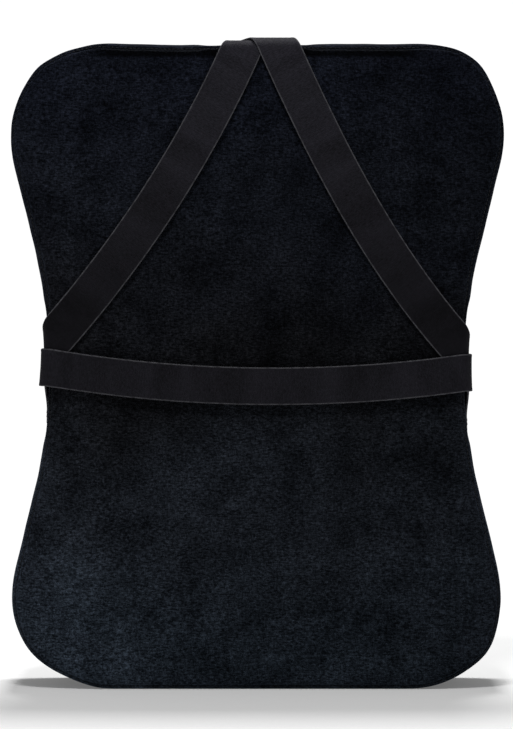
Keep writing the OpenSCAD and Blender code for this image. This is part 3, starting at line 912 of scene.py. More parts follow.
    def _band(self, back: np.ndarray, front: np.ndarray) -> list[np.ndarray]:
        """The loops of the band between the two rolled edges."""
        span = self.outline.base_depth - 2 * self.roll
        low, high = ((y - self.roll) / span for y in self.channel)
        shares = np.concatenate([np.linspace(0, low, 7)[1:], np.linspace(low, high, 3)[1:],
                                 np.linspace(high, 1, 7)[1:-1]])
        start = np.vstack(self._blocks)[back]
        stop = np.vstack(self._blocks)[front]
        loops = [back]
        for share in shares:
            loops.append(self._add(start * (1 - share) + stop * share))
            base = start[:, 2] < self.inset + 0.01
            self._pins.extend(loops[-1][base].tolist())
        return [*loops, front]

    def _skin(self, back_grid: np.ndarray, back: list[np.ndarray], front_grid: np.ndarray,
              front: list[np.ndarray], band: list[np.ndarray]) -> None:
        """Join the points into outward faces, each marked with its cut piece."""
        for grid, region, turned in ((back_grid, Region.BACK, False), (front_grid, Region.FRONT, True)):
            for i in range(grid.shape[0] - 1):
                for j in range(grid.shape[1] - 1):
                    face = [grid[i, j], grid[i + 1, j], grid[i + 1, j + 1], grid[i, j + 1]]
                    self.faces.append(face[::-1] if turned else face)
                    self.regions.append(region.value)
        for loops, panel, turned in ((back, Region.BACK, False), (front, Region.FRONT, True)):
            for k in range(len(loops) - 1):
                inside = k < self._seam_at
                for i in range(self.outline.count):
                    region = panel if inside else self._side_region(i, 0 if panel is Region.BACK else 20)
                    self._quad(loops[k], loops[k + 1], i, region, turned)
        for k in range(len(band) - 1):
            for i in range(self.outline.count):
                self._quad(band[k], band[k + 1], i, self._side_region(i, k + 1), False)

    def _side_region(self, i: int, row: int) -> Region:
        """The cut piece of the band at cell i of a loop and a row from the back."""
        base_start = self.outline.count // 2 - self.outline.straight_cells
        from_end = min(i - base_start, base_start + 2 * self.outline.straight_cells - 1 - i)
        if from_end < 0:
            return Region.BOXING
        if row in (7, 8):
            return Region.CHANNEL
        return Region.BASE_REAR if row < 7 else Region.BASE_FRONT

    def _quad(self, inner: np.ndarray, outer: np.ndarray, i: int, region: Region, turned: bool) -> None:
        """One face between two loops."""
        j = (i + 1) % self.outline.count
        face = [inner[i], outer[i], outer[j], inner[j]]
        self.faces.append(face[::-1] if not turned else face)
        self.regions.append(region.value)


def as_object(form: CushionForm, name: str) -> bpy.types.Object:
    """Make a closed skin an object whose faces keep their region."""
    obj = mesh_object(name, form.points, form.faces)
    tag = obj.data.attributes.new("region", "INT", "FACE")
    tag.data.foreach_set("value", form.regions)
    work = bmesh.new()
    work.from_mesh(obj.data)
    bmesh.ops.recalc_face_normals(work, faces=work.faces)
    work.to_mesh(obj.data)
    work.free()
    obj.data.update()
    return obj


# -------------------------------------------------------------------- cover


@dataclass
class Cover:
    """The zipped velour cover: two panels, a boxing band and a base band split along the zip."""

    outline: Outline
    velour: bpy.types.Material
    cloth: float = 2.0
    lip_height: float = 5.0
    back_swell: float = 2.8
    front_swell: float = 6.0
    side_swell: float = 1.3
    strap_swell: float = 0.2
    pressure: float = 4.0
    frames: int = 20

    def build(self) -> list[bpy.types.Object]:
        """Swell the skin, cut it into its pieces, and declare each.

        Returns:
            The finished pieces.
        """
        form = CushionForm(self.outline)
        skin = as_object(form, "cover_skin")
        start = points_of(skin.data)
        self._limit = self._swell_limit(start)
        moved = self._pumped(skin, form.fixed)
        move_points(skin.data, self._limited(start, moved))
        self._pucker(skin, form)
        soften = skin.modifiers.new("soften", "SUBSURF")
        soften.levels = soften.render_levels = 1
        settle(skin)
        pieces = self._cut(skin)
        bpy.data.objects.remove(skin)
        return pieces

    def _swell_limit(self, points: np.ndarray) -> np.ndarray:
        """How far each point may swell from the sewn shape, in millimetres."""
        edge, _ = self.outline.loop()
        flat = points[:, [0, 2]]
        near = np.full(len(points), 1e9)
        for place_on_edge in edge:
            near = np.minimum(near, np.linalg.norm(flat - place_on_edge, axis=1))
        depth = self.outline.front_y(points[:, 2])
        limit = np.full(len(points), self.side_swell)
        back = points[:, 1] < 1.0
        front = points[:, 1] > depth - 1.0
        limit[back] = 0.3 + self.back_swell * ease(near[back] / 60.0)
        limit[front] = 0.8 + self.front_swell * ease(near[front] / 75.0)
        side = ~back & ~front
        under_straps = (np.abs(points[:, 2] - 212.0) < 44.0) | (
            (points[:, 2] > self.outline.height - 6.0) & (np.abs(points[:, 0]) < 34.0))
        limit[side & under_straps & (points[:, 1] < 56.0)] = self.strap_swell
        limit[points[:, 2] < 0.5] = 0.02
        return limit

    def _pumped(self, skin: bpy.types.Object, fixed: np.ndarray) -> np.ndarray:
        """Blow up the cloth against its sewn seams.

        Args:
            skin: The closed skin.
            fixed: Which of its points the seams and the base hold.

        Returns:
            The points after the simulation, in millimetres.
        """
        work = skin.copy()
        work.data = skin.data.copy()
        link(work)
        held = work.vertex_groups.new(name="held")
        held.add(np.flatnonzero(fixed).tolist(), 1.0, "REPLACE")
        cloth = work.modifiers.new("fabric", "CLOTH")
        settings = cloth.settings
        settings.quality = 5
        settings.mass = 0.3
        settings.tension_stiffness = settings.compression_stiffness = 15.0
        settings.shear_stiffness = 5.0
        settings.bending_stiffness = 0.5
        settings.vertex_group_mass = "held"
        settings.use_pressure = True
        settings.uniform_pressure_force = self.pressure
        settings.effector_weights.gravity = 0.0
        cloth.collision_settings.use_collision = False
        cloth.point_cache.frame_start = 1
        cloth.point_cache.frame_end = self.frames
        scene = bpy.context.scene
        for frame in range(1, self.frames + 1):
            scene.frame_set(frame)
        graph = bpy.context.evaluated_depsgraph_get()
        result = points_of(work.evaluated_get(graph).data)
        bpy.data.objects.remove(work)
        scene.frame_set(1)
        return result

    def _limited(self, start: np.ndarray, moved: np.ndarray) -> np.ndarray:
        """Keep the swelling inside its limit, eased rather than clipped."""
        step = moved - start
        length = np.linalg.norm(step, axis=1)
        length[length < 1e-9] = 1e-9
        allowed = self._limit * np.tanh(length / self._limit)
        return start + step * (allowed / length)[:, None]

    def _pucker(self, skin: bpy.types.Object, form: CushionForm) -> None:
        """Draw the velour in beside the seams and let it lie a little uneven elsewhere."""
        points = points_of(skin.data)
        normals = normals_of(skin.data)
        seam = points[form.fixed & (points[:, 2] > 1.0)]
        cell_size = 8.0
        shifts = [(a, b, c) for a in (-1, 0, 1) for b in (-1, 0, 1) for c in (-1, 0, 1)]
        by_cell: dict[tuple[int, int, int], list[int]] = {}
        for number, cell in enumerate(map(tuple, np.floor(seam / cell_size).astype(int))):
            by_cell.setdefault(cell, []).append(number)
        reach = 14.0
        amount = np.zeros(len(points))
        for number, point in enumerate(points):
            if form.fixed[number] or point[2] < 0.5:
                continue
            x, y, z = point
            drape = 0.35 * ripple(x, y, z, 46.0, 1.3) + 0.12 * ripple(x, y, z, 17.0, 5.9)
            cell = tuple(np.floor(point / cell_size).astype(int))
            keys = (tuple(c + d for c, d in zip(cell, shift)) for shift in shifts)
            close = [n for key in keys for n in by_cell.get(key, ())]
            pull = 0.0
            if close:
                gap = float(np.min(np.linalg.norm(seam[close] - point, axis=1)))
                pull = math.exp(-((gap - 3.0) / (reach / 2.6)) ** 2)
            gather = 0.34 * ripple(x, 0.3 * y, z, 9.0, 7.7) * pull
            amount[number] = min(drape + gather, 0.25 + 0.5 * self._limit[number])
        quiet = np.where(self._limit < 0.25, 0.15, 1.0) * ease((points[:, 2] - 0.5) / 8.0)
        move_points(skin.data, points + normals * (amount * quiet)[:, None])

    def _cut(self, skin: bpy.types.Object) -> list[bpy.types.Object]:
        mesh = skin.data
        points = points_of(mesh)
        tags = np.empty(len(mesh.polygons), np.int32)
        mesh.attributes["region"].data.foreach_get("value", tags)
        polygons = [tuple(p.vertices) for p in mesh.polygons]
        names = {
            Region.BACK: ("cover_back_panel", (0.330, 0.430), 0.1262),
            Region.FRONT: ("cover_front_panel", (0.330, 0.450), 0.1320),
            Region.BOXING: ("cover_boxing_band", (0.104, 1.170), 0.0900),
            Region.BASE_REAR: ("cover_base_band_rear", (0.042, 0.207), 0.0086),
            Region.BASE_FRONT: ("cover_base_band_front", (0.042, 0.207), 0.0086),
        }
        pieces = []
        for region, (node, flat, area) in names.items():
            own = [polygons[k] for k in np.flatnonzero(tags == region.value)]
            used = sorted({v for face in own for v in face})
            number = {v: k for k, v in enumerate(used)}
            part = points[used]
            faces = [[number[v] for v in face] for face in own]
            if region in (Region.BASE_REAR, Region.BASE_FRONT):
                part, faces = self._lip(part, faces, region)
            piece = mesh_object(node + "_velour", part, faces)
            wall = piece.modifiers.new("cloth", "SOLIDIFY")
            wall.thickness = self.cloth * MM
            wall.offset = -1.0
            settle(piece)
            dress(piece, self.velour)
            place(piece, Body.CUSHION, [node])
            pieces.append(piece)
        return pieces

    def _lip(self, points: np.ndarray, faces: list[list[int]],
             region: Region) -> tuple[np.ndarray, list[list[int]]]:
        """Turn the edge beside the zip up into the cushion.

        Args:
            points: The strip's points.
            faces: The strip's faces.
            region: Which strip it is.

        Returns:
            The points and faces with the lip added.
        """
        line_y = CHANNEL_EDGES[0] if region is Region.BASE_REAR else CHANNEL_EDGES[1]
        edges: dict[tuple[int, int], int] = {}
        for face in faces:
            for a, b in zip(face, face[1:] + face[:1]):
                edges[(a, b)] = edges.get((a, b), 0) + 1
        border = [(a, b) for a, b in edges if (b, a) not in edges]
        beside = [(a, b) for a, b in border
                  if abs(points[a][1] - line_y) < 1.2 and abs(points[b][1] - line_y) < 1.2]
        points = points.copy()
        numbers = sorted({v for pair in beside for v in pair})
        points[numbers, 1] = line_y
        points[numbers, 2] = 0.45
        rows = [dict(zip(numbers, numbers))]
        extra = []
        for height in (1.6, 3.2, self.lip_height):
            row = {}
            for v in numbers:
                row[v] = len(points) + len(extra)
                extra.append([points[v][0], line_y + (0.35 if region is Region.BASE_REAR else -0.35), height])
            rows.append(row)
        for low, high in zip(rows[:-1], rows[1:]):
            faces = faces + [[low[b], low[a], high[a], high[b]] for a, b in beside]
        return np.vstack([points, np.array(extra)]), faces


# ------------------------------------------------------------------ filling


@dataclass
class Filling:
    """The foam block and the liner that keeps it clean, with a groove over the zip."""

    outline: Outline
    foam: bpy.types.Material
    liner: bpy.types.Material
    foam_inset: float = 5.4
    liner_inset: float = 4.2
    liner_cloth: float = 0.6
    groove_half: float = 20.5
    groove_top: float = 9.6

    def build(self) -> list[bpy.types.Object]:
        """Make the foam block and its liner."""
        foam = self._block("foam_core_block", self.foam_inset, self.groove_top + 1.4)
        dress(foam, self.foam)
        place(foam, Body.CUSHION, ["foam_core"])
        liner = self._block("inner_liner_bag", self.liner_inset, self.groove_top)
        wall = liner.modifiers.new("cloth", "SOLIDIFY")
        wall.thickness = self.liner_cloth * MM
        wall.offset = -1.0
        settle(liner)
        dress(liner, self.liner)
        place(liner, Body.CUSHION, ["inner_liner"])
        return [foam, liner]

    def _block(self, name: str, inset: float, groove: float) -> bpy.types.Object:
        """A closed block inside the cover, grooved over the zip."""
        form = CushionForm(self.outline, inset=inset, seam_dip=0.0, wavy=0.0, rings=8)
        points = form.points
        across = ease((self.groove_half + 3.0 - np.abs(points[:, 1] - self.outline.base_depth / 2)) / 3.0)
        along = ease((112.0 - np.abs(points[:, 0])) / 6.0)
        low = np.clip(1.0 - (points[:, 2] - inset) / 6.0, 0.0, 1.0)
        points[:, 2] += (groove - inset) * across * along * low
        wave = np.array([ripple(*p, 60.0, 4.4) for p in points])
        points[:, 1] += 0.25 * wave
        return as_object(form, name)


# ------------------------------------------------------------------- straps


@dataclass(frozen=True)
class Wrap:
    """How flat webbing lies round the back and over the edges of the cover, in millimetres."""

    outline: Outline
    thickness: float = 1.4
    edge_radius: float = 5.0
    edge_gap: float = 2.0
    bow: float = 3.8
    bow_run: float = 55.0
    land_run: float = 24.0
    seat: float = 0.4
    layer_gap: float = 0.5

    @property
    def mid(self) -> float:
        """Half the webbing's thickness."""
        return self.thickness / 2

    @property
    def layer(self) -> float:
        """Height of one layer of webbing and its gap."""
        return self.thickness + self.layer_gap

    @property
    def turn_radius(self) -> float:
        """Radius at which the middle of the webbing turns an edge."""
        return self.edge_radius + self.edge_gap + self.mid

    @property
    def turn_run(self) -> float:
        """Length of webbing in that turn."""
        return self.turn_radius * math.pi / 2

    def _turned(self, s: np.ndarray, lift: np.ndarray, e: np.ndarray) -> tuple[np.ndarray, np.ndarray]:
        """How far out and how deep a point lies, s past the line where the turn starts."""
        radius = self.turn_radius + lift
        roll = radius * math.pi / 2
        angle = s / radius
        landed = self.edge_gap + (self.seat - self.edge_gap) * ease((s - roll) / self.land_run)
        out = np.where(s < roll, (radius + e) * np.sin(angle),
                       self.edge_radius + landed + self.mid + lift + e)
        depth = np.where(s < roll, self.edge_radius - (radius + e) * np.cos(angle),
                         self.edge_radius + s - roll)
        return out, depth

    def lay(self, x: np.ndarray, z: np.ndarray, lift: np.ndarray, e: np.ndarray) -> np.ndarray:
        """Wrap points of the flat pattern round the cushion.

        Args:
            x: Place across on the pattern.
            z: Height on the pattern.
            lift: Height over the lowest layer.
            e: Height over the webbing's middle plane.

        Returns:
            The points in the row frame.
        """
        fold_x = self.outline.side_x(z) - self.edge_radius
        fold_z = self.outline.height - self.edge_radius
        s = np.abs(x) - fold_x
        q = z - fold_z
        bowed = self.edge_gap + self.bow * ease(-s / self.bow_run) * ease(-q / self.bow_run)
        side_out, side_depth = self._turned(np.maximum(s, 0.0), lift, e)
        top_out, top_depth = self._turned(np.maximum(q, 0.0), lift, e)
        beside, above = s > 0, (s <= 0) & (q > 0)
        px = np.where(beside, np.sign(x) * (fold_x + side_out), x)
        py = np.where(beside, side_depth, np.where(above, top_depth, -(bowed + self.mid + lift + e)))
        pz = np.where(above, fold_z + top_out, z)
        return np.column_stack([px, py, pz])


class Rise(Enum):
    """Which layer a strap lies in."""

    LOW = 0
    HIGH = 1
    HIGH_AT_TOP = 2


@dataclass
class Strap:
    """One length of elastic webbing, laid along a line of its flat pattern."""

    name: str
    node: str
    body: Body
    wrap: Wrap
    width: float
    line: np.ndarray
    rise: Rise
    mirrored: bool = False
    dents: tuple[tuple[float, float, float, float], ...] = ()
    flares: tuple[tuple[float, float], ...] = ()
    columns: int = 12
    sewn_y: float = 0.037

    def lift(self, z: np.ndarray) -> np.ndarray:
        """Height over the lowest layer along the strap."""
        if self.rise is Rise.LOW:
            return np.zeros_like(z)
        if self.rise is Rise.HIGH:
            return np.full_like(z, self.wrap.layer)
        return self.wrap.layer * ease((z - 340.0) / 60.0)

    def headings(self) -> np.ndarray:
        """Unit direction along the line at each of its points."""
        ahead = np.vstack([self.line[1:], self.line[-1:]])
        behind = np.vstack([self.line[:1], self.line[:-1]])
        way = ahead - behind
        return way / np.linalg.norm(way, axis=1)[:, None]

    def at(self, pattern: np.ndarray, above: np.ndarray) -> np.ndarray:
        """Wrapped places of pattern points, mirrored where the strap is the left one."""
        places = self.wrap.lay(pattern[:, 0], pattern[:, 1], self.lift(pattern[:, 1]), above)
        if self.mirrored:
            places[:, 0] *= -1
        return places

    def _profile(self) -> list[tuple[float, float]]:
        """The webbing's cross-section: place across, and height as a share of half the thickness."""
        half = self.width / 2
        inner = [half - 0.55, half - 1.5]
        middle = np.linspace(-(half - 2.6), half - 2.6, self.columns - 3).tolist()
        flat = [-inner[0], -inner[1], *middle, inner[1], inner[0]]
        face = [(c, 1.0 if abs(c) > half - 1.7 else 0.86) for c in flat]
        return [*face, (half - 0.1, 0.55), (half, 0.0), (half - 0.1, -0.55),
                *[(c, -h) for c, h in reversed(face)],
                (-half + 0.1, -0.55), (-half, 0.0), (-half + 0.1, 0.55)]

    def build(self, material: bpy.types.Material) -> bpy.types.Object:
        """Sweep the profile along the wrapped line.

        Args:
            material: The webbing's material.

        Returns:
            The finished strap.
        """
        profile = self._profile()
        ways = self.headings()
        across = np.column_stack([ways[:, 1], -ways[:, 0]])
        gaps = np.linalg.norm(np.diff(self.line, axis=0), axis=1)
        run = np.concatenate([[0.0], np.cumsum(gaps)])
        rows, uv = [], []
        for k, centre in enumerate(self.line):
            offsets = np.array([c for c, _ in profile])
            pattern = centre + across[k] * offsets[:, None]
            above = np.array([h for _, h in profile]) * self.wrap.mid
            places = self.at(pattern, above + self._dent(run[k], offsets))
            rows.append(places)
            uv.append(np.column_stack([offsets * MM, np.full(len(profile), run[k] * MM)]))
        n, m = len(rows), len(profile)
        faces = [[k * m + j, k * m + (j + 1) % m, (k + 1) * m + (j + 1) % m, (k + 1) * m + j]
                 for k in range(n - 1) for j in range(m)]
        faces += [list(range(m - 1, -1, -1)), [(n - 1) * m + j for j in range(m)]]
        strap = mesh_object(self.name, np.vstack(rows), faces, np.vstack(uv))
        work = bmesh.new()
        work.from_mesh(strap.data)
        bmesh.ops.recalc_face_normals(work, faces=work.faces)
        work.to_mesh(strap.data)
        work.free()
        dress(strap, material)
        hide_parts(self.node)
        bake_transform(strap)
        LOG.info("%s stretches between cushion and %s, %d faces", self.name, self.body.value,
                 len(strap.data.polygons))
        return strap

    def _dent(self, along: float, across: np.ndarray) -> np.ndarray:
        """Height of the slack waves in the webbing at a place along it."""
        height = np.zeros(len(across))
        for at_run, depth, spread, slant in self.dents:
            height += depth * np.exp(-(((along + slant * across) - at_run) / spread) ** 2)
        for at_run, flare in self.flares:
            lower = across / self.width + 0.5
            height += flare * lower * math.exp(-((along - at_run) / 16.0) ** 2)
        return height

    def tack_line(self, from_start: bool, back: float, low: float, high: float,
                  steps: int = 12) -> tuple[np.ndarray, np.ndarray]:
        """The line of a bar tack across the strap.

        Args:
            from_start: Whether it is at the start of the strap's line.
            back: Distance from that end.
            low: Where it starts across the strap.
            high: Where it stops across the strap.
            steps: Points along it.

        Returns:
            The line's points and the outward direction at each.
        """
        way = self.headings()[0 if from_start else -1]
        end = self.line[0] + way * back if from_start else self.line[-1] - way * back
        side = np.array([way[1], -way[0]])
        pattern = end + side * np.linspace(low, high, steps)[:, None]
        on_top = self.at(pattern, np.full(steps, self.wrap.mid))
        outer = self.at(pattern, np.full(steps, self.wrap.mid + 1.0))
        return on_top, outer - on_top


@dataclass
class StrapSet:
    """The waist strap and the two crossed shoulder straps."""

    outline: Outline
    waist_material: bpy.types.Material
    shoulder_material: bpy.types.Material
    waist_width: float = 25.0
    shoulder_width: float = 27.0
    top_lean: float = 24.0
    side_lean: float = 41.0
    side_sewn: float = 50.0
    top_sewn: float = 46.0
    side_drop: float = 52.0

    def __post_init__(self) -> None:
        """Set out the three straps."""
        self.wrap = Wrap(self.outline)
        self.waist = Strap("waist_strap_webbing", "waist_strap", Body.WAIST, self.wrap, self.waist_width,
                           self._waist_line(), Rise.HIGH, flares=((58.0, 2.6), (366.0, 0.8)),
                           dents=((150.0, 0.6, 26.0, 0.2), (215.0, -0.5, 22.0, 0.4),
                                  (300.0, 0.5, 30.0, -0.3)))
        self.left = Strap("left_shoulder_strap_webbing", "left_shoulder_strap", Body.LEFT, self.wrap,
                          self.shoulder_width, self._shoulder_line(10.8, 239.7), Rise.LOW, mirrored=True,
                          dents=((92.0, -0.6, 13.0, 0.2), (152.0, 0.7, 15.0, 0.3), (172.0, -1.2, 12.0, 0.35),
                                 (195.0, 0.7, 14.0, 0.2), (228.0, 0.6, 13.0, 0.5), (247.0, -1.1, 12.0, 0.5)))
        self.right = Strap("right_shoulder_strap_webbing", "right_shoulder_strap", Body.RIGHT, self.wrap,
                           self.shoulder_width, self._shoulder_line(16.6, 234.5), Rise.HIGH_AT_TOP,
                           dents=((100.0, 0.5, 16.0, 0.0), (128.0, -1.0, 14.0, 0.2), (150.0, 0.5, 14.0, 0.1),
                                  (205.0, -1.2, 15.0, -0.4), (232.0, 0.7, 14.0, -0.2)))

    def _waist_z(self, x: float) -> float:
        """Height of the waist strap's middle line, which sags and tilts a little."""
        t = min(1.0, abs(x) / (self.outline.waist_width / 2))
        return 203.0 + 10.5 * t * t - 1.8 * math.copysign(1.0, x) * t

    def _waist_end(self, side: float) -> float:
        """How far the waist strap's pattern reaches on one side."""
        z = self._waist_z(side * self.outline.waist_width / 2)
        turn = (self.wrap.turn_radius + self.wrap.layer) * math.pi / 2
        return (float(self.outline.side_x(z)) - self.wrap.edge_radius + turn + self.side_sewn
                - self.wrap.edge_radius)

    def _waist_line(self) -> np.ndarray:
        """Pattern line of the waist strap, from the left end to the right."""
        xs = np.linspace(-self._waist_end(-1.0), self._waist_end(1.0), 190)
        return np.array([[x, self._waist_z(x)] for x in xs])

    def _shoulder_line(self, top_x: float, side_z: float) -> np.ndarray:
        """Pattern line of a shoulder strap, from its sewn top end to its sewn side end."""
        wrap = self.wrap
        lean, slope = math.radians(self.top_lean), math.radians(self.side_lean)
        up = np.array([-math.sin(lean), math.cos(lean)])
        down = np.array([math.sin(slope), -math.cos(slope)])
        a = np.array([top_x, self.outline.height - wrap.edge_radius + 0.5])
        side = float(self.outline.side_x(side_z))
        d = np.array([side - wrap.edge_radius - 4.0, side_z])
        handle = np.linalg.norm(d - a) / 3
        end = np.array([side - wrap.edge_radius + wrap.turn_run + self.side_sewn - wrap.edge_radius,
                        side_z - self.side_drop])
        bend = d + down * np.linalg.norm(end - d) * 0.45
        top_run = (wrap.turn_run + self.top_sewn - wrap.edge_radius) / math.cos(lean)
        first = [a + up * top_run * (1 - t) for t in np.linspace(0, 1, 36)[:-1]]
        t = np.linspace(0, 1, 90)[:-1, None]
        b, c = a - up * handle, d - down * handle
        second = (1 - t) ** 3 * a + 3 * (1 - t) ** 2 * t * b + 3 * (1 - t) * t ** 2 * c + t ** 3 * d
        t = np.linspace(0, 1, 44)[:, None]
        third = (1 - t) ** 2 * d + 2 * (1 - t) * t * bend + t ** 2 * end
        return np.vstack([np.array(first), second, third])

    def build(self) -> list[bpy.types.Object]:
        """Make the three straps."""
        return [self.waist.build(self.waist_material), self.left.build(self.shoulder_material),
                self.right.build(self.shoulder_material)]


# ----------------------------------------------------------------- stitches


class RowTree:
    """A Geometry Nodes tree that sets small rounded threads or teeth along guide lines."""

    SIZES = (("Pitch", 0.002), ("Length", 0.002), ("Width", 0.0004), ("Height", 0.0004), ("Turn", 0.0),
             ("Lift", 0.0), ("Slant", 0.0))

    def __init__(self, name: str, segments: int = 8, rings: int = 5) -> None:
        """Build the tree.

        Args:
            name: The tree's name.
            segments: Sides of each thread.
            rings: Rings of each thread.
        """
        tree = bpy.data.node_groups.new(name, "GeometryNodeTree")
        self.tree = tree
        face = tree.interface
        face.new_socket("Geometry", in_out="INPUT", socket_type="NodeSocketGeometry")
        for label, value in self.SIZES:
            face.new_socket(label, in_out="INPUT", socket_type="NodeSocketFloat").default_value = value
        face.new_socket("Seed", in_out="INPUT", socket_type="NodeSocketInt").default_value = 7
        face.new_socket("Material", in_out="INPUT", socket_type="NodeSocketMaterial")
        face.new_socket("Geometry", in_out="OUTPUT", socket_type="NodeSocketGeometry")
        sheet = NodeSheet(tree)
        start = sheet.add("NodeGroupInput")
        curve = sheet.add("GeometryNodeMeshToCurve")
        sheet.join(start.outputs["Geometry"], curve.inputs[0])
        spaced = sheet.add("GeometryNodeResampleCurve", mode="LENGTH")
        sheet.join(curve.outputs[0], spaced.inputs["Curve"])
        sheet.join(start.outputs["Pitch"], spaced.inputs["Length"])
        up = sheet.add("GeometryNodeInputNamedAttribute", data_type="FLOAT_VECTOR")
        up.inputs["Name"].default_value = "up"
        upright = sheet.add("FunctionNodeAlignRotationToVector", axis="Z")
        sheet.join(up.outputs[0], upright.inputs["Vector"])
        along = sheet.add("FunctionNodeAlignRotationToVector", axis="X", pivot_axis="Z")
        sheet.join(upright.outputs[0], along.inputs["Rotation"])
        sheet.join(sheet.add("GeometryNodeInputTangent").outputs[0], along.inputs["Vector"])
        jitter = sheet.add("FunctionNodeRandomValue", data_type="FLOAT")
        sheet.join(sheet.math("MULTIPLY", start.outputs["Slant"], -1.0), jitter.inputs[2])
        sheet.join(start.outputs["Slant"], jitter.inputs[3])
        sheet.join(start.outputs["Seed"], jitter.inputs["Seed"])
        angle = sheet.math("ADD", start.outputs["Turn"], jitter.outputs[1])
        spin = sheet.add("FunctionNodeAxisAngleToRotation")
        spin.inputs["Axis"].default_value = (0.0, 0.0, 1.0)
        sheet.join(angle, spin.inputs["Angle"])
        turned = sheet.add("FunctionNodeRotateRotation", rotation_space="LOCAL")
        sheet.join(along.outputs[0], turned.inputs["Rotation"])
        sheet.join(spin.outputs[0], turned.inputs["Rotate By"])
        thread = sheet.add("GeometryNodeMeshUVSphere")
        thread.inputs["Segments"].default_value = segments
        thread.inputs["Rings"].default_value = rings
        thread.inputs["Radius"].default_value = 0.5
        size = sheet.add("ShaderNodeCombineXYZ")
        for axis, label in enumerate(("Length", "Width", "Height")):
            sheet.join(start.outputs[label], size.inputs[axis])
        shaped = sheet.add("GeometryNodeTransform")
        sheet.join(thread.outputs["Mesh"], shaped.inputs["Geometry"])
        sheet.join(size.outputs[0], shaped.inputs["Scale"])
        rise = sheet.add("ShaderNodeVectorMath", operation="SCALE")
        sheet.join(up.outputs[0], rise.inputs[0])
        sheet.join(start.outputs["Lift"], rise.inputs["Scale"])
        lifted = sheet.add("GeometryNodeSetPosition")
        sheet.join(spaced.outputs[0], lifted.inputs["Geometry"])
        sheet.join(rise.outputs[0], lifted.inputs["Offset"])
        rows = sheet.add("GeometryNodeInstanceOnPoints")
        sheet.join(lifted.outputs[0], rows.inputs["Points"])
        sheet.join(shaped.outputs[0], rows.inputs["Instance"])
        sheet.join(turned.outputs[0], rows.inputs["Rotation"])
        real = sheet.add("GeometryNodeRealizeInstances")
        sheet.join(rows.outputs[0], real.inputs[0])
        smooth = sheet.add("GeometryNodeSetShadeSmooth")
        sheet.join(real.outputs[0], smooth.inputs[0])
        painted = sheet.add("GeometryNodeSetMaterial")
        sheet.join(smooth.outputs[0], painted.inputs["Geometry"])
        sheet.join(start.outputs["Material"], painted.inputs["Material"])
        end = sheet.add("NodeGroupOutput")
        sheet.join(painted.outputs[0], end.inputs[0])

    def run(self, name: str, guides: Sequence[tuple[np.ndarray, np.ndarray]], material: bpy.types.Material,
            **sizes: float) -> bpy.types.Object:
        """Set threads along guide lines and return them as one plain mesh.

        Args:
            name: The piece's name.
            guides: Points in millimetres and outward directions of each line.
            material: The thread's material.
            **sizes: Input values in metres or radians.

        Returns:
            The finished piece.
        """
        mesh = bpy.data.meshes.new(name)
        points = np.vstack([line for line, _ in guides])
        edges, first = [], 0
        for line, _ in guides:
            edges += [(first + k, first + k + 1) for k in range(len(line) - 1)]
            first += len(line)
        mesh.from_pydata((points * MM).tolist(), edges, [])
        ups = np.vstack([up for _, up in guides])
        ups = ups / np.linalg.norm(ups, axis=1)[:, None]
        upward = mesh.attributes.new("up", "FLOAT_VECTOR", "POINT")
        upward.data.foreach_set("vector", ups.astype(np.float32).ravel())
        obj = bpy.data.objects.new(name, mesh)
        modifier = obj.modifiers.new("row", "NODES")
        modifier.node_group = self.tree
        sockets = {item.name: item.identifier for item in self.tree.interface.items_tree
                   if item.in_out == "INPUT"}
        for label, value in {**sizes, "Material": material}.items():
            modifier[sockets[label]] = value
        link(obj)
        settle(obj)
        if "up" in obj.data.attributes:
            obj.data.attributes.remove(obj.data.attributes["up"])
        return obj


@dataclass
class SeamThread:
    """The stitches that show in the seams between the panels and the bands."""

    outline: Outline
    tree: RowTree
    thread: bpy.types.Material
    rise: float = 0.55

    def build(self) -> bpy.types.Object:
        """Set the stitches along both seams."""
        form = CushionForm(self.outline)
        guides = [form.seam_line(front, self.rise) for front in (False, True)]
        piece = self.tree.run("cover_seam_thread", guides, self.thread, Pitch=0.0029, Length=0.0024,
                              Width=0.00055, Height=0.0005, Turn=0.0, Lift=0.0, Slant=0.08)
        place(piece, Body.CUSHION)
        return piece


@dataclass
class Tacks:
    """The bar tacks that sew the strap ends to the cover."""

    straps: StrapSet
    tree: RowTree
    thread: bpy.types.Material
    width: float = 1.8
    first: float = 3.0
    second: float = 8.0
    side_margin: float = 3.5

    def build(self) -> list[bpy.types.Object]:
        """Make the tacks of each side and of the top."""
        straps = self.straps
        shoulder = straps.shoulder_width / 2 - self.side_margin
        waist = straps.waist_width / 2 - self.side_margin
        backs = (self.first, self.second)
        groups = {
            "top_tacks": [straps.right.tack_line(True, back, -10.5, 10.5) for back in backs]
            + [straps.left.tack_line(True, back, 2.5, 11.5) for back in backs],
            "side_tacks_left": [straps.left.tack_line(False, back, -shoulder, shoulder) for back in backs]
            + [straps.waist.tack_line(True, back, -waist, waist) for back in backs],
            "side_tacks_right": [straps.right.tack_line(False, back, -shoulder, shoulder) for back in backs]
            + [straps.waist.tack_line(False, back, -waist, waist) for back in backs],
        }
        pieces = []
        for node, guides in groups.items():
            piece = self.tree.run(node + "_thread", guides, self.thread, Pitch=0.00062,
                                  Length=self.width * MM, Width=0.00052, Height=0.0007, Turn=1.25,
                                  Slant=0.12, Lift=0.00018)
            place(piece, Body.CUSHION, [node])
            pieces.append(piece)
        return pieces


# ---------------------------------------------------------------------- zip


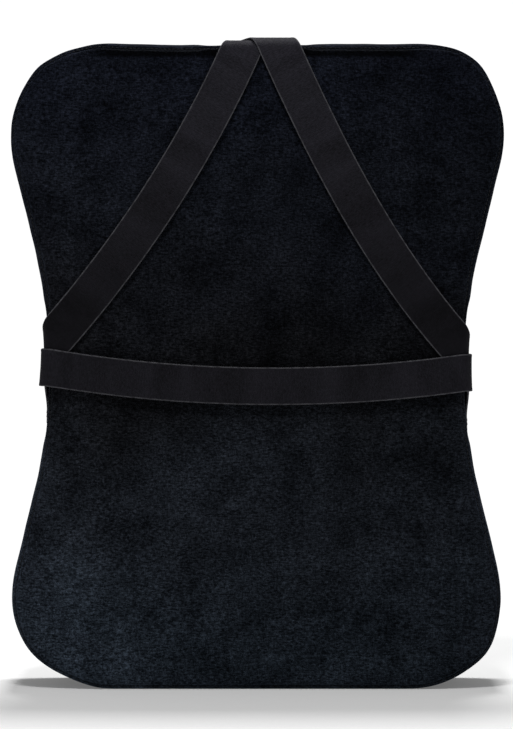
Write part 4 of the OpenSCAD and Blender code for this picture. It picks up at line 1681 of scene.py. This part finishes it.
@dataclass
class Zip:
    """The coil zip in the underside, with its slider and pull."""

    tree: RowTree
    tape: bpy.types.Material
    nylon: bpy.types.Material
    metal: bpy.types.Material
    thread: bpy.types.Material
    line_y: float = 42.0
    half: float = 84.0
    pitch: float = 2.0
    slit: float = 0.6
    tooth: float = 1.5
    spine: float = 1.0
    tooth_z: float = 5.6
    tooth_height: float = 2.2
    tape_z: float = 5.3
    tape_width: float = 12.0
    tape_cloth: float = 0.6
    tape_half: float = 96.0
    slider_x: float = 77.0
    slider_width: float = 9.0
    slider_length: float = 12.0
    bar_z: float = 2.65
    stop_reach: float = 3.08
    stop_inner: float = 0.62
    stop_bevel: float = 0.35
    top_stop_length: float = 3.0
    bottom_stop_length: float = 4.0
    stitch_offset: float = 8.7
    stitch_half: float = 98.0
    plates: tuple[tuple[float, float], ...] = ((3.4, 4.2), (7.0, 7.8))

    def build(self) -> list[bpy.types.Object]:
        """Make the tapes, the coil, the stops, the stitching, the slider and the pull."""
        return [*self._tapes(), *self._coils(), *self._stops(), self._topstitch(), self._slider(),
                self._pull()]

    def _tapes(self) -> list[bpy.types.Object]:
        """The two woven tapes."""
        made = []
        for side, node in ((1.0, "zip_tape_front"), (-1.0, "zip_tape_rear")):
            xs = np.linspace(-self.tape_half, self.tape_half, 97)
            ys = self.line_y + side * (self.slit + self.tooth + self.spine + 0.25
                                       + np.linspace(0.0, self.tape_width - 0.1, 9))
            gx, gy = np.meshgrid(xs, ys, indexing="ij")
            wave = np.array([ripple(x, y, 0.0, 16.0, 2.2) for x, y in zip(gx.ravel(), gy.ravel())])
            fade = np.clip((np.abs(gy.ravel() - self.line_y) - 5.0) / 6.0, 0.0, 1.0)
            z = self.tape_z + 0.12 * wave * fade
            points = np.column_stack([gx.ravel(), gy.ravel(), z])
            n, m = gx.shape
            faces = [[i * m + j, i * m + j + 1, (i + 1) * m + j + 1, (i + 1) * m + j]
                     for i in range(n - 1) for j in range(m - 1)]
            if side < 0:
                faces = [face[::-1] for face in faces]
            piece = mesh_object(node + "_cloth", points, faces)
            wall = piece.modifiers.new("cloth", "SOLIDIFY")
            wall.thickness = (self.tape_cloth - 0.1) * MM
            wall.offset = -1.0
            settle(piece)
            dress(piece, self.tape)
            place(piece, Body.CUSHION, [node])
            made.append(piece)
        return made

    def _coils(self) -> list[bpy.types.Object]:
        """The two rows of coil teeth on their spines."""
        made = []
        up = np.array([[0.0, 0.0, 1.0]] * 2)
        for side, shift, node in ((1.0, 0.0, "zip_teeth_front"), (-1.0, 1.0, "zip_teeth_rear")):
            y = self.line_y + side * (self.slit + self.tooth / 2 + 0.45)
            line = np.array([[-self.half + 0.8 + shift, y, self.tooth_z], [self.half - 1.2, y, self.tooth_z]])
            row = self.tree.run(node + "_coil", [(line, up)], self.nylon, Pitch=self.pitch * MM,
                                Length=(self.tooth + 0.8) * MM, Width=0.0012, Height=self.tooth_height * MM,
                                Turn=math.pi / 2, Lift=0.0, Slant=0.0)
            self._add_spine(row, self.line_y + side * (self.slit + self.tooth + self.spine / 2))
            place(row, Body.CUSHION, [node])
            made.append(row)
        return made

    def _add_spine(self, row: bpy.types.Object, y: float) -> None:
        """Join a rounded cord that carries the teeth to a row."""
        work = bmesh.new()
        work.from_mesh(row.data)
        turn = Matrix.Rotation(math.pi / 2, 4, "Y")
        cord = bmesh.ops.create_cone(work, cap_ends=True, segments=12, radius1=0.48 * MM, radius2=0.48 * MM,
                                     depth=2 * (self.half - 0.4) * MM, matrix=turn)
        for vertex in cord["verts"]:
            vertex.co.z = vertex.co.z * 2.0 + self.tooth_z * MM
            vertex.co.y += y * MM
        for face in {f for v in cord["verts"] for f in v.link_faces}:
            face.smooth = True
        work.to_mesh(row.data)
        work.free()

    def _blocks(self, name: str, boxes: Sequence[tuple[Sequence[float], Sequence[float]]],
                material: bpy.types.Material, bevel: float) -> bpy.types.Object:
        """Rounded metal made of boxes given by their low and high corners."""
        work = bmesh.new()
        for low, high in boxes:
            centre = [(a + b) / 2 * MM for a, b in zip(low, high)]
            size = [(b - a) * MM for a, b in zip(low, high)]
            bmesh.ops.create_cube(work, size=1.0,
                                  matrix=Matrix.Translation(centre) @ Matrix.Diagonal((*size, 1.0)))
        mesh = bpy.data.meshes.new(name)
        work.to_mesh(mesh)
        work.free()
        obj = link(bpy.data.objects.new(name, mesh))
        round_off = obj.modifiers.new("round", "BEVEL")
        round_off.width = bevel * MM
        round_off.segments = 3
        settle(obj)
        obj.data.polygons.foreach_set("use_smooth", [True] * len(obj.data.polygons))
        dress(obj, material)
        return obj

    def _stops(self) -> list[bpy.types.Object]:
        """The crimped stops at both ends of the coil."""
        z0, z1 = self.tooth_z - 1.1, self.tooth_z + 1.1
        x, y = self.half + 0.3, self.line_y
        reach, inner, far_x = self.stop_reach, self.stop_inner, x + self.top_stop_length
        top = self._blocks("zip_top_stops_crimps",
                           [((x, y + inner, z0), (far_x, y + reach, z1)),
                            ((x, y - reach, z0), (far_x, y - inner, z1))], self.metal, self.stop_bevel)
        place(top, Body.CUSHION, ["zip_top_stops"])
        bottom = self._blocks("zip_bottom_stop_crimp",
                              [((-x - self.bottom_stop_length, y - reach, z0), (-x, y + reach, z1))],
                              self.metal, self.stop_bevel)
        place(bottom, Body.CUSHION, ["zip_bottom_stop"])
        return [top, bottom]

    def _topstitch(self) -> bpy.types.Object:
        """The lines of stitching that hold the tapes to the base band."""
        guides = []
        for y in (self.line_y - self.stitch_offset, self.line_y + self.stitch_offset):
            line = np.array([[-self.stitch_half, y, 0.0], [self.stitch_half, y, 0.0]])
            guides.append((line, np.array([[0.0, 0.0, -1.0]] * 2)))
        piece = self.tree.run("zip_topstitch_thread", guides, self.thread, Pitch=0.0031, Length=0.0026,
                              Width=0.0005, Height=0.0005, Turn=0.0, Lift=-0.00026, Slant=0.05)
        place(piece, Body.CUSHION)
        return piece

    def _slider(self) -> bpy.types.Object:
        """The slider: two plates, four flanges, the web between the rows and the arch."""
        x, y = self.slider_x, self.line_y
        hx, hy = self.slider_length / 2, self.slider_width / 2
        boxes = [((x - hx, y - hy, low), (x + hx, y + hy, high)) for low, high in self.plates]
        for side in (-1.0, 1.0):
            low, high = sorted((y + side * hy, y + side * (hy - 1.0)))
            boxes += [((x - hx, low, 3.6), (x + hx, high, 5.0)), ((x - hx, low, 6.2), (x + hx, high, 7.6))]
            leg = x + side * 3.0
            boxes.append(((leg - 0.6, y - 0.8, 1.0), (leg + 0.6, y + 0.8, 3.7)))
        boxes += [((x + hx - 4.0, y - 0.5, 3.6), (x + hx, y + 0.5, 7.6)),
                  ((x - 3.6, y - 0.8, 0.9), (x + 3.6, y + 0.8, 1.9))]
        slider = self._blocks("zip_slider_body", boxes, self.metal, 0.28)
        place(slider, Body.SLIDER, ["zip_slider"])
        return slider

    def _pull(self) -> bpy.types.Object:
        """The pull: a forked tab with a rounded end, on a round bar in the slider's arch."""
        eye_w, eye_l, length, half_w, thick = 1.4, 5.6, 16.0, 2.6, 1.0
        end = [(-eye_l - length + half_w * math.cos(a), half_w * math.sin(a))
               for a in np.linspace(math.pi / 2, 3 * math.pi / 2, 17)]
        path = [(0.0, half_w), *end, (0.0, -half_w),
                (0.0, -eye_w), (-eye_l, -eye_w), (-eye_l, eye_w), (0.0, eye_w)]
        work = bmesh.new()
        under = (self.bar_z - thick / 2) * MM
        ring = [work.verts.new(((self.slider_x + x) * MM, (self.line_y + y) * MM, under))
                for x, y in path]
        face = work.faces.new(ring)
        raised = bmesh.ops.extrude_face_region(work, geom=[face])
        for item in raised["geom"]:
            if isinstance(item, bmesh.types.BMVert):
                item.co.z += thick * MM
        bmesh.ops.recalc_face_normals(work, faces=work.faces)
        mesh = bpy.data.meshes.new("zip_pull_tab")
        work.to_mesh(mesh)
        work.free()
        pull = link(bpy.data.objects.new("zip_pull_tab", mesh))
        round_off = pull.modifiers.new("round", "BEVEL")
        round_off.width = 0.22 * MM
        round_off.segments = 3
        settle(pull)
        work = bmesh.new()
        work.from_mesh(pull.data)
        lay = Matrix.Translation((self.slider_x * MM, self.line_y * MM, self.bar_z * MM)) @ Matrix.Rotation(
            math.pi / 2, 4, "X")
        bmesh.ops.create_cone(work, cap_ends=True, segments=24, radius1=0.55 * MM, radius2=0.55 * MM,
                              depth=2 * (half_w - 0.4) * MM, matrix=lay)
        for each in work.faces:
            each.smooth = True
        work.to_mesh(pull.data)
        work.free()
        dress(pull, self.metal)
        place(pull, Body.PULL, ["zip_pull"])
        return pull


# ------------------------------------------------------------------- studio


@dataclass
class Studio:
    """A white table that glows as painted light, a white surround and soft light from above."""

    middle: tuple[float, float, float] = (0.0, 0.0, 0.2172)
    distance: float = 2.6
    elevation: float = 1.2
    view_height: float = 0.486
    near: float = 0.45
    glow: float = 0.13
    far: float = 1.3
    floor_half: float = 9000.0
    sensor: float = 36.0

    def build(self) -> None:
        """Make the floor, the surround, the lights and the camera."""
        self._floor()
        self._surround()
        self._lights()
        self._camera()
        bpy.context.scene.view_settings.view_transform = "Standard"
        LOG.info("studio ready")

    def _floor(self) -> None:
        """A wide pale floor that glows: faintly beside the cushion, a painted light that lightens the shadow
        there, and evenly white further off.
        """
        half = self.floor_half
        corners = np.array([[-half, -half, 0.0], [half, -half, 0.0], [half, half, 0.0], [-half, half, 0.0]])
        floor = mesh_object("floor", corners, [[0, 1, 2, 3]])
        surface = Surface(roughness=0.8, specular=0.1, bump=0.02)
        material, sheet, shader, bump = new_material("pale_floor", surface, (0.9, 0.9, 0.9))
        grain = sheet.noise(sheet.add("ShaderNodeTexCoord").outputs["Object"], 60.0, 2.0)
        parts = sheet.add("ShaderNodeVectorMath", operation="LENGTH")
        sheet.join(sheet.add("ShaderNodeTexCoord").outputs["Object"], parts.inputs[0])
        far = sheet.between(parts.outputs["Value"], self.near, self.far, 0.0, 1.0)
        near = sheet.math("SUBTRACT", 1.0, far)
        base = sheet.math("MULTIPLY", sheet.between(grain, 0.0, 1.0, 0.995, 1.005), near)
        sheet.join(sheet.shade((0.7, 0.7, 0.7), base), shader.inputs["Base Color"])
        # Painted light: a weak glow near the cushion lifts the floor's shadow, rising to full white from near
        # to far.
        glow = sheet.shade((1.05, 1.05, 1.05), sheet.between(far, 0.0, 1.0, self.glow, 1.0, "LINEAR"))
        sheet.join(glow, shader.inputs["Emission Color"])
        shader.inputs["Emission Strength"].default_value = 1.0
        sheet.join(grain, bump.inputs["Height"])
        dress(floor, material)

    def _surround(self) -> None:
        """A white surround, softer as a light than it looks."""
        world = bpy.data.worlds.new("surround")
        world.use_nodes = True
        sheet = NodeSheet(world.node_tree)
        world.node_tree.nodes.clear()
        seen = sheet.add("ShaderNodeBackground")
        seen.inputs["Strength"].default_value = 1.05
        lit = sheet.add("ShaderNodeBackground")
        lit.inputs["Strength"].default_value = 0.2
        mix = sheet.add("ShaderNodeMixShader")
        sheet.join(sheet.add("ShaderNodeLightPath").outputs["Is Camera Ray"], mix.inputs[0])
        sheet.join(lit.outputs[0], mix.inputs[1])
        sheet.join(seen.outputs[0], mix.inputs[2])
        sheet.join(mix.outputs[0], sheet.add("ShaderNodeOutputWorld").inputs[0])
        for node in (seen, lit):
            node.inputs["Color"].default_value = (1.0, 1.0, 1.0, 1.0)
        bpy.context.scene.world = world

    def _lights(self) -> None:
        """A large soft light overhead and a wide fill beside the camera."""
        for name, at, size, deep, energy in (("overhead", (0.05, 0.62, 1.7), 0.5, 0.5, 31.0),
                                             ("key", (-0.15, -1.1, 1.75), 0.32, 0.32, 19.5)):
            data = bpy.data.lights.new(name, "AREA")
            data.shape = "RECTANGLE"
            data.size = size
            data.size_y = deep
            data.energy = energy
            light = link(bpy.data.objects.new(name, data))
            light.location = at
            way = Vector((0.0, 0.02, 0.2)) - Vector(at)
            light.rotation_euler = way.to_track_quat("-Z", "Y").to_euler()

    def _camera(self) -> None:
        """A long lens square on to the back of the cushion."""
        data = bpy.data.cameras.new("camera")
        data.sensor_width = self.sensor
        data.lens = self.sensor * self.distance / self.view_height
        data.clip_end = 100.0
        camera = link(bpy.data.objects.new("camera", data))
        tilt = math.radians(self.elevation)
        camera.location = (self.middle[0], self.middle[1] - self.distance * math.cos(tilt),
                           self.middle[2] + self.distance * math.sin(tilt))
        camera.rotation_euler = (math.pi / 2 - tilt, 0.0, 0.0)
        bpy.context.scene.camera = camera


# --------------------------------------------------------------------- main


def main() -> None:
    """Load the frame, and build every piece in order."""
    logging.basicConfig(level=logging.INFO, format="%(name)s: %(message)s")
    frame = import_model()
    groups = EffectGroups()
    velour = Velour().material(groups)
    thread = PlainCloth("thread_polyester", (0.022, 0.022, 0.025), 0.0004, 0.6, 0.3).material(groups)
    outline = Outline()
    Studio().build()
    Filling(outline, FoamFinish().material(groups),
            PlainCloth("liner_knit", (0.62, 0.62, 0.60), 0.0012).material(groups)).build()
    Cover(outline, velour).build()
    # The shoulder webbing is given painted light: darker low down, lighter near the top.
    straps = StrapSet(outline, Webbing("webbing_waist", half_width=0.0125).material(groups),
                      Webbing("webbing_shoulder", painted_light_low=0.55, painted_light_high=1.55).material(groups))
    straps.build()
    tree = RowTree("thread_row")
    seam = PlainCloth("thread_seam", (0.0075, 0.008, 0.0095), 0.0004, 0.8, 0.1).material(groups)
    SeamThread(outline, tree, seam).build()
    Tacks(straps, tree, thread).build()
    Zip(tree, PlainCloth("zip_tape_weave", (0.012, 0.012, 0.014), 0.0007).material(groups),
        ZipHardware("coil_nylon", (0.016, 0.016, 0.018), (0.03, 0.03, 0.032), 0.0, 0.38).material(groups),
        ZipHardware("painted_metal", (0.02, 0.02, 0.022), (0.42, 0.42, 0.44), 1.0, 0.34).material(groups),
        thread).build()


if __name__ == "__main__":
    main()
